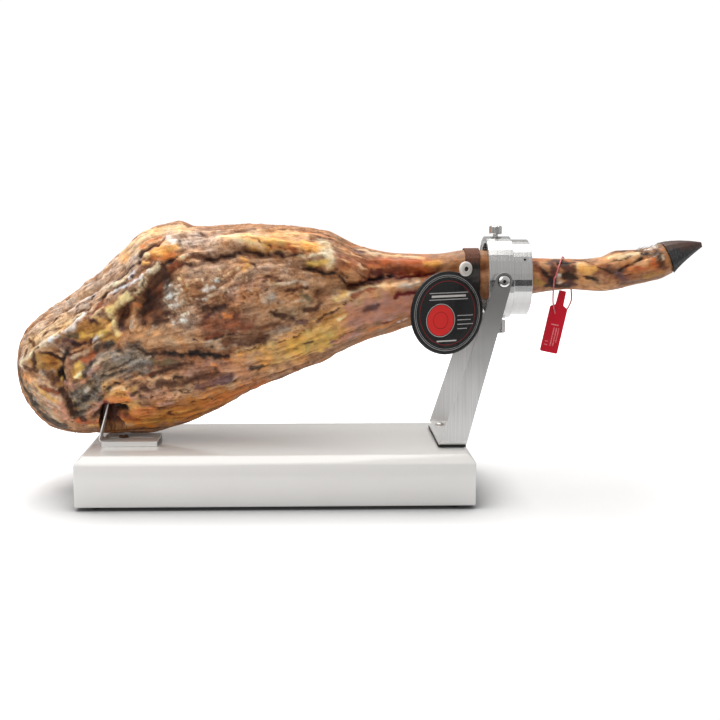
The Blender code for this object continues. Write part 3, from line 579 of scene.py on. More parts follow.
def noise(points, cell, shift=0.0):
    """Gradient noise about 0, mostly within -1 and 1, with cells of one size."""
    scaled = points / cell + shift * 7.31
    whole = np.floor(scaled).astype(int)
    part = scaled - whole
    ease = part ** 3 * (part * (part * 6 - 15) + 10)
    total = np.zeros(points.shape[:-1])
    for corner in np.ndindex(2, 2, 2):
        near = (whole + corner) & 255
        mixed = LATTICE[LATTICE[LATTICE[near[..., 0]] + near[..., 1]] + near[..., 2]]
        height = np.sum(SLOPES[mixed] * (part - corner), axis=-1)
        weight = np.prod(np.where(corner, ease, 1 - ease), axis=-1)
        total += height * weight
    return total * 1.7


def clouds(points, cell, octaves=3, shift=0.0):
    total, weight = 0.0, 1.0
    for octave in range(octaves):
        total = total + weight * noise(points, cell / 2 ** octave, shift + octave)
        weight *= 0.55
    return total


def streaks(points, direction, cell, reach, shift=0.0, taps=9):
    """Noise averaged along a direction, so that it lies in long strands."""
    total = 0.0
    for share in np.linspace(-1, 1, taps):
        total = total + noise(points + direction * (share * reach), cell, shift)
    return total / taps * 2.4


print("noise of seed", SEED, "mean", round(float(noise(GRID[::9, ::9], 0.01).mean()), 3))

# %% [markdown]
# ### Marks
#
# What makes one ham unlike another is where its folds, cracks, crusts and
# patches of fat lie.  A painter would lay them down one by one, large patches
# first and fine cracks last, and so do these lists.  Each mark is a line over
# the skin, in millimetres along X (from the middle of the plinth) and up Z.
# A patch has a paint, a width and a strength; a ridge has a paint, a width
# and a lift (or a dip); a crack has a paint and a width, and cuts as deep as
# it is wide.  Many marks also paint light and shade: pale paints laid on raised
# crests and upper edges are painted highlight, and dark paints laid in dips,
# cracks and hollows are painted shade as well as the meat's darker colour.

# %% Paints of the ham: red, green, blue and how crumbly the surface is
# Some paints also carry light and shade.  The pale frost and rim paints, where they lie on raised
# crests and upper edges, are painted highlight; black, umber, maroon, brown and dark_slate, laid in
# dips, cracks and hollows, are painted shade there as well as the meat's own dark colour.
PAINTS = {
    "flesh": (174, 126, 92, 0.9),
    "pale_flesh": (204, 162, 132, 0.9),
    "deep": (142, 98, 74, 1.0),
    "brown": (112, 72, 50, 0.9),
    "red_brown": (146, 78, 46, 0.6),
    "umber": (84, 50, 34, 0.8),
    "black": (34, 22, 17, 0.6),
    "maroon": (88, 46, 40, 0.6),
    "wine": (122, 34, 36, 0.3),
    "purple": (120, 82, 78, 0.6),
    "mauve": (184, 140, 126, 0.7),
    "rose": (200, 142, 122, 0.2),
    "tan": (214, 162, 118, 0.5),
    "sand": (240, 212, 172, 0.5),
    "cream": (240, 208, 146, 0.3),
    "rim": (218, 184, 160, 0.8),
    "frost_and_highlight": (232, 218, 212, 0.5),
    "peach": (236, 190, 146, 0.35),
    "gold": (228, 170, 98, 0.3),
    "yellow": (226, 180, 92, 0.2),
    "mustard": (186, 132, 60, 0.4),
    "amber": (198, 126, 56, 0.25),
    "orange": (214, 132, 74, 0.35),
    "ember": (196, 104, 60, 0.3),
    "slate": (146, 132, 120, 1.0),
    "dark_slate": (88, 76, 66, 1.0),
    "olive": (118, 98, 70, 0.8),
    "greige": (194, 168, 146, 0.7),
    "mould": (228, 216, 200, 1.0),
    "rind": (182, 128, 72, 0.35),
    "dark_rind": (128, 82, 52, 0.7),
}
Mark = namedtuple("Mark", "kind paint width amount lift points")
print(len(PAINTS), "paints")

# %% [markdown]
# First come the large patches, which set the colour of each region.  Ridges
# and lumps follow, region by region from the butt to the hoof, so a later one
# covers an earlier one where they cross.

# %% Large patches of the near face
NEAR_PATCHES = [
    ("pale_flesh", 24, 0.9, [(-95, 270), (-38, 268), (18, 263)]),
    ("flesh", 22, 0.9, [(-72, 238), (-22, 234), (41, 245)]),
    ("mauve", 13, 0.45, [(-43, 238), (-14, 241)]),
    ("deep", 13, 0.9, [(-101, 200), (-44, 207), (12, 211), (47, 225)]),
    ("red_brown", 11, 0.5, [(-70, 200), (-27, 209)]),
    ("olive", 7, 0.8, [(0, 215), (23, 217), (38, 230)]),
    ("greige", 8, 0.75, [(-78, 182), (-27, 183), (18, 194), (32, 204)]),
    ("tan", 15, 0.7, [(-151, 189), (-95, 184)]),
    ("tan", 20, 0.9, [(-44, 153), (1, 159), (29, 171)]),
    ("gold", 19, 0.9, [(-2, 168), (41, 180), (70, 200), (83, 218)]),
    ("yellow", 15, 0.9, [(25, 177), (43, 184), (56, 182)]),
    ("deep", 9, 0.85, [(-138, 162), (-95, 164), (-59, 162)]),
    ("rose", 15, 0.45, [(-88, 146), (-38, 146)]),
    ("tan", 14, 0.85, [(-129, 135), (-88, 125), (-54, 128)]),
    ("mauve", 8, 0.5, [(-145, 128), (-122, 123)]),
    ("amber", 18, 1, [(-187, 86), (-140, 94), (-93, 103), (-56, 114)]),
    ("orange", 7, 0.8, [(-79, 106), (-47, 119), (-11, 132)]),
    # The rim patches on the upper edges of the butt and of the lean, this one and the one three lines
    # below, are partly the skin's pale colour and partly painted highlight where the top edge catches
    # the lamp.
    ("rim", 24, 1, [(-280, 162), (-269, 193), (-237, 223), (-196, 247), (-167, 277)]),
    ("sand", 13, 0.5, [(-275, 179), (-253, 193), (-235, 204)]),
    ("peach", 15, 1, [(-165, 286), (-140, 304), (-106, 308)]),
    ("rim", 13, 0.8, [(-115, 297), (-88, 297), (-54, 297)]),
    ("peach", 9, 1, [(-52, 297), (-14, 300), (29, 300)]),
    ("gold", 8, 0.9, [(-25, 288), (18, 290), (54, 283)]),
    ("sand", 8, 0.9, [(54, 290), (61, 272)]),
    ("red_brown", 9, 0.7, [(72, 272), (106, 261)]),
    ("tan", 21, 1, [(-284, 128), (-266, 112), (-246, 94)]),
    ("rose", 9, 0.6, [(-257, 112), (-244, 96)]),
    ("mustard", 15, 0.9, [(-269, 162), (-255, 159), (-257, 135)]),
    ("slate", 16, 1, [(-154, 166), (-183, 159), (-203, 144)]),
    ("slate", 14, 1, [(-205, 135), (-224, 116), (-230, 98)]),
    ("olive", 10, 0.5, [(-215, 125), (-230, 103)]),
    ("mustard", 9, 0.9, [(-215, 193), (-196, 198), (-185, 189)]),
    # The brown and umber patches in the hollow under the crest are painted shade there as well as
    # darker meat.
    ("brown", 17, 1, [(-129, 261), (-134, 241), (-140, 220)]),
    ("umber", 9, 0.8, [(-140, 232), (-129, 216)]),
    ("mould", 14, 0.22, [(-117, 238), (-102, 223), (-99, 209)]),
    ("gold", 12, 0.8, [(-183, 128), (-163, 121), (-167, 112)]),
    ("orange", 24, 0.55, [(299, 260), (326, 258)]),
    ("tan", 16, 0.8, [(354, 258), (385, 248)]),
    ("tan", 12, 0.8, [(376, 271), (416, 274)]),
    ("red_brown", 12, 0.85, [(371, 262), (396, 256)]),
    ("orange", 12, 0.7, [(407, 260), (441, 264)]),
    ("brown", 9, 0.6, [(403, 248), (444, 252)]),
    ("ember", 14, 0.8, [(117, 265), (169, 265)]),
    ("tan", 22, 0.5, [(-14, 227), (63, 232), (138, 243)]),
    ("gold", 12, 0.5, [(29, 195), (86, 209)]),
    ("amber", 9, 1, [(-183, 87), (-140, 87)]),
    ("rim", 13, 0.7, [(-269, 133), (-253, 114)]),
    ("purple", 8, 0.5, [(-239, 171), (-219, 159)]),
]
print(len(NEAR_PATCHES), "patches on the near face")

# %% Ridges and lumps: upper side of the butt
NEAR_RIDGES = [
    # Painted highlight and shade along the crest of the butt: the pale lines on the raised crest are
    # painted highlight, and the olive, purple and maroon dips just under it are painted shade.
    ("frost_and_highlight", 3, 2.2, [(-251, 183), (-240, 188), (-231, 194), (-224, 199), (-217, 206), (-213, 212)]),
    ("sand", 3, 1.2, [(-264, 179), (-271, 173), (-279, 164), (-286, 155)]),
    ("olive", 2.2, -1.6, [(-240, 186), (-230, 189), (-219, 191)]),
    ("purple", 2.4, -1, [(-237, 183), (-226, 183)]),
    ("maroon", 2.6, -1.6, [(-228, 180), (-217, 182), (-201, 185)]),
    ("brown", 2.4, 0, [(-282, 182), (-274, 179)]),
    ("brown", 2.2, 0, [(-284, 171), (-282, 164)]),
    ("brown", 2.6, 0, [(-282, 153), (-271, 150)]),
    ("frost_and_highlight", 2.2, 0.8, [(-226, 225), (-215, 232), (-205, 237)]),
    ("greige", 3.2, 0.4, [(-235, 227), (-219, 236), (-205, 247)]),
    ("sand", 2.4, 1, [(-242, 191), (-228, 207), (-215, 215)]),
    ("greige", 1.9, 1.2, [(-228, 165), (-217, 171), (-205, 177), (-196, 183)]),
    ("frost_and_highlight", 1.8, 1.2, [(-205, 183), (-199, 188), (-193, 191)]),
    ("red_brown", 3.4, -1, [(-215, 164), (-201, 173), (-190, 181)]),
    ("umber", 1.8, -1.4, [(-233, 168), (-219, 175), (-208, 181)]),
    ("yellow", 3.2, 1, [(-196, 191), (-187, 198), (-183, 204)]),
    ("yellow", 2.4, 0.6, [(-217, 192), (-205, 191)]),
    ("red_brown", 3.6, -1.2, [(-201, 216), (-196, 223), (-192, 229)]),
    ("maroon", 3.2, -3.2, [(-204, 207), (-198, 207)]),
    ("peach", 1.7, 1, [(-204, 208), (-196, 214), (-189, 220)]),
    ("cream", 4.6, 1.4, [(-163, 235), (-173, 227), (-183, 219)]),
    ("cream", 3.6, 1.2, [(-183, 218), (-181, 207), (-176, 195)]),
]
print(len(NEAR_RIDGES), "so far")

# %% Ridges and lumps: the hollow under the crest
NEAR_RIDGES += [
    # Painted highlight and shade round the hollow: the pale sand and frost lines along the crest are
    # painted highlight, and the umber and black marks in the hollow under it are painted shade as
    # well as dark meat.
    ("sand", 3.2, 2.2, [(-129, 270), (-138, 261), (-146, 248), (-155, 239)]),
    ("frost_and_highlight", 2.2, 1.6, [(-140, 261), (-151, 253), (-163, 246), (-174, 243), (-187, 236)]),
    ("peach", 3, 1, [(-185, 241), (-199, 233), (-205, 220)]),
    ("sand", 2.2, 1, [(-165, 256), (-176, 248), (-192, 243)]),
    ("frost_and_highlight", 2.2, 1.4, [(-156, 261), (-161, 252)]),
    ("umber", 3, -3.4, [(-149, 279), (-147, 286), (-140, 288), (-132, 290)]),
    ("red_brown", 2.4, -1.6, [(-131, 291), (-124, 299)]),
    ("orange", 3.2, -0.6, [(-150, 290), (-142, 295), (-132, 299)]),
    ("sand", 3.4, 3, [(-142, 279), (-141, 279)]),
    ("gold", 3.2, 3, [(-145, 270), (-143, 270)]),
    ("gold", 6.5, 4, [(-131, 281), (-120, 286), (-113, 289)]),
    ("orange", 3, 0.4, [(-136, 276), (-122, 276), (-113, 280)]),
    ("frost_and_highlight", 3.6, 1, [(-120, 299), (-113, 294)]),
    ("black", 3.4, -2.4, [(-121, 270), (-113, 273)]),
    ("frost_and_highlight", 1.8, 1.2, [(-104, 277), (-97, 280), (-90, 281)]),
    ("brown", 2, 0, [(-104, 313), (-97, 311)]),
    ("umber", 3.4, -1.6, [(-104, 270), (-95, 271), (-87, 270)]),
    ("red_brown", 4, -1, [(-108, 271), (-115, 265)]),
    ("brown", 5, -1, [(-93, 279), (-68, 277)]),
    ("red_brown", 3.6, 0, [(-129, 250), (-131, 236)]),
    ("umber", 3.4, -1.5, [(-142, 241), (-145, 229), (-140, 223)]),
    ("umber", 3.2, -1, [(-131, 223), (-120, 225)]),
    ("purple", 4.2, -3.6, [(-169, 223), (-174, 211), (-173, 200)]),
    ("maroon", 2.8, -2, [(-175, 214), (-173, 204)]),
    ("tan", 4.6, 3.4, [(-158, 225), (-159, 200)]),
    ("orange", 1.8, 0.8, [(-164, 218), (-159, 227), (-152, 225)]),
    ("slate", 2.6, -0.6, [(-159, 209), (-159, 201)]),
    ("umber", 2.8, -2, [(-147, 218), (-146, 204)]),
    ("greige", 3, 0.5, [(-140, 195), (-133, 204)]),
    ("umber", 3, -1.4, [(-124, 214), (-111, 216)]),
    ("umber", 2.6, -1.2, [(-145, 204), (-133, 207), (-120, 209)]),
]
print(len(NEAR_RIDGES), "so far")

# %% Ridges and lumps: the lean face
NEAR_RIDGES += [
    ("frost_and_highlight", 2.6, 0.6, [(-79, 243), (-70, 245)]),
    ("mould", 2.6, 1.2, [(-78, 232), (-68, 236), (-59, 243)]),
    ("mould", 2.4, 1, [(-122, 234), (-115, 238), (-108, 238)]),
    ("mould", 2.2, 1, [(-117, 225), (-108, 226), (-99, 223)]),
    ("mould", 2, 0.8, [(-106, 209), (-97, 208)]),
    ("pale_flesh", 2.4, 1, [(-66, 238), (-50, 247), (-38, 261)]),
    ("pale_flesh", 2.8, 1, [(-52, 272), (-41, 272)]),
    ("gold", 2.6, 1.6, [(-36, 279), (-27, 272), (-34, 263)]),
    ("umber", 2.2, -1.4, [(-27, 272), (-23, 270)]),
    ("umber", 4.4, -1.4, [(-79, 220), (-66, 220), (-54, 225)]),
    ("maroon", 3.4, -1.2, [(-77, 211), (-70, 215)]),
    ("orange", 2.4, 0.2, [(-56, 214), (-50, 211)]),
    ("umber", 3.4, -1, [(-5, 215), (9, 211), (20, 210)]),
    ("umber", 3.2, -1.2, [(32, 216), (45, 220), (52, 226)]),
    ("greige", 3, 0.6, [(-2, 247), (18, 250), (34, 247)]),
    ("greige", 4, 0.6, [(-14, 229), (-2, 236)]),
    ("brown", 2.2, -0.8, [(11, 241), (36, 243)]),
    ("brown", 3, -0.8, [(-10, 256), (7, 252)]),
    ("olive", 3.6, -0.4, [(29, 238), (41, 229)]),
    ("greige", 2.2, 0.6, [(18, 227), (32, 229)]),
    ("purple", 3.2, 0, [(25, 204), (36, 204)]),
    ("red_brown", 3.2, -0.8, [(-77, 189), (-59, 191)]),
    ("red_brown", 4, -0.4, [(-54, 200), (-27, 202)]),
    ("tan", 2, 0.6, [(-16, 180), (18, 189), (50, 202)]),
    ("brown", 2.2, -0.6, [(-27, 179), (-11, 182)]),
    ("brown", 2.4, -0.8, [(47, 204), (63, 214)]),
    ("umber", 3.4, -0.4, [(-77, 169), (-68, 166), (-63, 165)]),
    ("black", 3, -0.8, [(-142, 171), (-138, 166)]),
    ("greige", 1.6, 0.6, [(-147, 165), (-141, 167)]),
    ("olive", 4, -0.6, [(-138, 162), (-111, 159)]),
    ("orange", 2.8, 2, [(-71, 157), (-66, 157)]),
    ("orange", 2.6, 1, [(-59, 164), (-52, 163)]),
    ("red_brown", 2.6, -0.8, [(-63, 166), (-52, 167)]),
    ("dark_slate", 3.6, -1, [(-27, 149), (-18, 153)]),
    ("umber", 1.6, -0.8, [(-70, 137), (-56, 135), (-45, 138)]),
    ("gold", 2.6, 0.8, [(-43, 168), (-20, 175), (-5, 177)]),
    ("sand", 1.8, 0.8, [(-45, 171), (-32, 173)]),
    ("orange", 2, 0.6, [(-18, 139), (-34, 132), (-54, 124)]),
]
print(len(NEAR_RIDGES), "so far")

# %% Ridges and lumps: the end of the butt and the belly
NEAR_RIDGES += [
    ("ember", 4, 0, [(-215, 162), (-205, 167)]),
    ("yellow", 5.6, 2, [(-219, 155), (-224, 146)]),
    ("sand", 2.4, 1, [(-220, 150), (-225, 144)]),
    ("rose", 3.4, 1, [(-217, 138), (-210, 146)]),
    ("mauve", 5, 0.6, [(-210, 150), (-199, 155)]),
    ("tan", 2.2, 1.6, [(-264, 173), (-253, 172), (-244, 168), (-237, 167)]),
    ("peach", 1.6, 1.2, [(-242, 173), (-235, 171)]),
    ("umber", 2, -1.4, [(-262, 169), (-251, 168), (-244, 164)]),
    ("umber", 2.6, -1.4, [(-266, 175), (-271, 166), (-273, 155)]),
    ("greige", 4, 0.8, [(-264, 146), (-253, 150)]),
    ("red_brown", 3, -0.6, [(-264, 130), (-253, 125)]),
    ("black", 3.6, -4, [(-235, 171), (-240, 165), (-239, 157), (-245, 149), (-247, 144)]),
    ("black", 3, -2.4, [(-244, 149), (-239, 140)]),
    ("yellow", 1.7, 0.8, [(-245, 141), (-244, 138)]),
    ("maroon", 2, -0.6, [(-250, 139), (-248, 136)]),
    ("mauve", 3.6, 0, [(-237, 135), (-226, 130)]),
    ("gold", 4, 1.2, [(-272, 131), (-260, 121), (-246, 110)]),
    ("rose", 3.4, 0.4, [(-246, 112), (-242, 98), (-239, 89)]),
    ("greige", 5, 0.4, [(-280, 125), (-266, 105), (-251, 89)]),
    ("slate", 3.4, 0, [(-287, 135), (-275, 114), (-257, 89)]),
    ("red_brown", 1.8, -1, [(-273, 135), (-262, 127), (-253, 122), (-245, 127)]),
    ("greige", 2.6, 0.8, [(-174, 171), (-196, 162), (-205, 155)]),
    ("greige", 2.2, 0.8, [(-160, 159), (-183, 150), (-199, 146)]),
    ("dark_slate", 2.2, -0.8, [(-176, 174), (-160, 172)]),
    ("dark_slate", 2, -0.8, [(-167, 153), (-185, 146), (-194, 144)]),
    ("sand", 1.8, 0.6, [(-240, 111), (-230, 114)]),
    ("greige", 2.2, 0.6, [(-203, 139), (-212, 128)]),
    ("dark_slate", 4.6, -1.2, [(-219, 101), (-230, 96)]),
    ("dark_slate", 2.8, -0.8, [(-233, 121), (-224, 125)]),
    ("rose", 3, 1.2, [(-199, 113), (-208, 104), (-217, 96)]),
    ("ember", 3.6, 0.8, [(-230, 88), (-219, 87), (-205, 89)]),
    ("gold", 2.6, 0.6, [(-215, 83), (-199, 86)]),
    ("umber", 3.4, -2, [(-192, 107), (-201, 100), (-212, 94), (-224, 90)]),
    ("peach", 3.2, 2, [(-185, 131), (-176, 133), (-169, 131)]),
    ("orange", 5, 1.6, [(-185, 119), (-169, 116)]),
    ("rose", 3.6, 0.6, [(-165, 125), (-160, 119)]),
    ("purple", 3, -1, [(-154, 125), (-152, 120)]),
    ("tan", 2, 1, [(-183, 138), (-167, 141), (-151, 146)]),
    ("tan", 1.6, 0.8, [(-163, 135), (-145, 141), (-129, 146)]),
    ("mauve", 3.6, 1.8, [(-131, 113), (-120, 113)]),
    ("orange", 6, 0.6, [(-160, 101), (-140, 103)]),
    ("umber", 1.8, -1.2, [(-121, 101), (-123, 96), (-117, 94)]),
    ("yellow", 2.4, 0.4, [(-115, 98), (-99, 102)]),
    ("mustard", 5, 0, [(-151, 87), (-122, 89)]),
    ("red_brown", 4, 0, [(-183, 94), (-160, 92)]),
]
print(len(NEAR_RIDGES), "so far")

# %% Ridges and lumps: the crest and the neck of the leg
NEAR_RIDGES += [
    ("peach", 2.4, 1.6, [(-50, 293), (-32, 291), (-14, 287)]),
    ("gold", 2.4, 1.6, [(-14, 288), (7, 283)]),
    ("orange", 2.2, -0.8, [(25, 305), (43, 303), (59, 299)]),
    ("orange", 2.2, -0.6, [(61, 299), (81, 290), (99, 287)]),
    ("orange", 2.4, -0.8, [(-5, 286), (18, 286)]),
    ("gold", 3, 0.8, [(29, 293), (52, 286)]),
    ("yellow", 3, 1.2, [(36, 272), (47, 269), (56, 271)]),
    ("sand", 1.6, 1, [(25, 277), (50, 277), (63, 274)]),
    ("tan", 2.6, 1, [(32, 261), (50, 256)]),
    ("tan", 1.6, 1, [(68, 288), (83, 281), (99, 272)]),
    ("peach", 3.4, 1, [(97, 283), (126, 277), (169, 274)]),
    ("gold", 3.4, 0.6, [(169, 269), (187, 268)]),
    ("orange", 3.4, 0.4, [(104, 286), (138, 282), (176, 279)]),
    ("purple", 2.4, -0.6, [(90, 283), (99, 280)]),
    ("rose", 2.6, 0, [(138, 269), (165, 268)]),
    ("red_brown", 3.6, -0.6, [(99, 272), (129, 267), (156, 263)]),
    ("tan", 1.6, 0.8, [(74, 272), (88, 265), (104, 261)]),
    ("maroon", 3.6, -1.4, [(111, 259), (131, 261), (153, 260)]),
    ("tan", 2, 0.8, [(138, 255), (160, 260)]),
    ("rose", 17, 1.2, [(88, 209), (117, 216), (151, 225)]),
    ("sand", 3.4, 1.6, [(70, 229), (86, 236), (102, 242), (124, 245)]),
    ("peach", 4, 1.6, [(120, 243), (142, 245), (162, 248)]),
    ("greige", 3, 0.8, [(142, 243), (165, 248)]),
    ("wine", 3.2, -1.2, [(138, 232), (149, 234), (160, 236)]),
    ("rose", 2, 0.6, [(140, 226), (158, 230)]),
    ("red_brown", 3.4, -0.4, [(88, 232), (99, 237), (113, 241)]),
    ("purple", 4, 0, [(102, 216), (115, 220)]),
    ("gold", 3.6, 1, [(68, 229), (81, 236)]),
    ("gold", 4.6, 0.8, [(65, 204), (77, 211)]),
    ("sand", 2.6, 0.6, [(70, 204), (77, 209)]),
    ("orange", 2.6, 0.4, [(106, 191), (126, 198), (142, 204)]),
    ("frost_and_highlight", 1.6, 0.6, [(140, 200), (151, 206)]),
    ("rose", 2.6, 0.4, [(63, 177), (81, 184), (99, 189)]),
]
print(len(NEAR_RIDGES), "so far")

# %% Ridges and lumps: the shank beyond the collar
NEAR_RIDGES += [
    ("red_brown", 4, 0, [(299, 269), (313, 246)]),
    ("tan", 5, 0.4, [(307, 269), (317, 267)]),
    ("mustard", 4, 0.4, [(299, 248), (310, 244)]),
    ("maroon", 6, -0.4, [(318, 267), (323, 244)]),
    ("umber", 7, -0.4, [(328, 269), (340, 262)]),
    ("greige", 2.5, 0.5, [(326, 273), (342, 272)]),
    ("black", 2.2, -0.6, [(326, 268), (346, 268)]),
    ("maroon", 3.5, 0, [(333, 262), (337, 258)]),
    ("mould", 2.2, 0.3, [(326, 253), (328, 246)]),
    ("black", 3.4, -0.7, [(308, 258), (318, 247)]),
    ("black", 5.2, -0.8, [(333, 252), (345, 250)]),
    ("black", 5, -0.5, [(315, 242), (341, 242)]),
    ("maroon", 3, -0.2, [(337, 245), (346, 244)]),
    ("black", 1.8, 0.2, [(346, 271), (362, 270)]),
    ("sand", 4, 0.5, [(349, 265), (358, 264)]),
    ("gold", 6, 0.6, [(352, 262), (369, 262)]),
    ("black", 3, -0.7, [(361, 251), (372, 247)]),
    ("umber", 2.6, -0.4, [(372, 263), (386, 258)]),
    ("brown", 5, -0.4, [(383, 260), (398, 260)]),
    ("sand", 4, 0.6, [(385, 274), (416, 278)]),
    ("tan", 4, 0.5, [(371, 269), (389, 269)]),
    ("purple", 5, -0.5, [(396, 258), (403, 248)]),
    ("umber", 2.4, -1, [(422, 273), (410, 267), (395, 262)]),
    ("ember", 5, 0.3, [(416, 262), (434, 269)]),
    ("tan", 4, 0.6, [(412, 269), (428, 269)]),
    ("umber", 3.4, 0.2, [(392, 280), (407, 282), (425, 281)]),
    ("black", 2.6, -0.5, [(423, 278), (428, 278)]),
    ("frost_and_highlight", 3.2, 0.5, [(428, 282), (441, 286)]),
    ("slate", 3, 0.3, [(434, 278), (444, 276)]),
    ("brown", 5, 0, [(441, 271), (448, 264)]),
    ("umber", 4, 0, [(440, 282), (446, 269)]),
    ("mould", 1.6, 0.3, [(444, 278), (446, 273)]),
    ("mustard", 4, 0.2, [(428, 253), (444, 256)]),
]
print(len(NEAR_RIDGES), "so far")

# %% Ridges and lumps: last touches over all regions
NEAR_RIDGES += [
    ("flesh", 6, 2, [(-166, 225), (-166, 210)]),
    ("umber", 9, -11, [(-192, 103), (-177, 103)]),
    ("black", 5, -2, [(-183, 107), (-173, 101)]),
    ("wine", 4, 0, [(-191, 112), (-183, 110)]),
    ("tan", 4, 1.5, [(-196, 85), (-167, 83)]),
    ("ember", 4, 1, [(122, 270), (165, 270)]),
    ("red_brown", 3, -1, [(124, 261), (169, 261)]),
    ("greige", 3, 0.6, [(126, 255), (165, 252)]),
    ("black", 3, -1.5, [(-122, 172), (-86, 169), (-52, 165)]),
    # The two dark slate lines along the lower left edge of the butt are painted shade where the skin
    # turns away from the light.
    ("dark_slate", 5, 0.5, [(-298, 148), (-291, 128), (-279, 107)]),
    ("dark_slate", 6, 0.5, [(-279, 107), (-264, 90), (-246, 79)]),
    ("umber", 4, -1.5, [(-244, 125), (-239, 110), (-235, 96)]),
    ("black", 3, -1.5, [(-235, 101), (-224, 112), (-212, 121)]),
    ("brown", 5, -0.5, [(-259, 148), (-251, 135)]),
    ("umber", 4, -1, [(-140, 148), (-115, 155), (-95, 159)]),
    ("brown", 6, -1, [(-129, 135), (-95, 139), (-67, 148)]),
    ("purple", 6, 0, [(-89, 130), (-55, 141)]),
    ("umber", 3, -1, [(-163, 125), (-149, 132), (-140, 130)]),
    ("brown", 8, 0, [(-52, 184), (-14, 186)]),
    ("gold", 4, 1, [(-196, 209), (-183, 200)]),
    ("olive", 4, 0, [(-210, 139), (-201, 128)]),
    ("dark_slate", 4, -0.6, [(-201, 177), (-183, 182)]),
    ("dark_slate", 3, -0.6, [(-215, 146), (-205, 159)]),
]
print(len(NEAR_RIDGES), "ridges and lumps")

# %% [markdown]
# Cracks cut into what the ridges built up; their dark paints are painted shade
# in the cut as well as the meat's dark colour.  Flecks are too many to place one
# by one, so they are thrown round a few middles with a seeded dice.

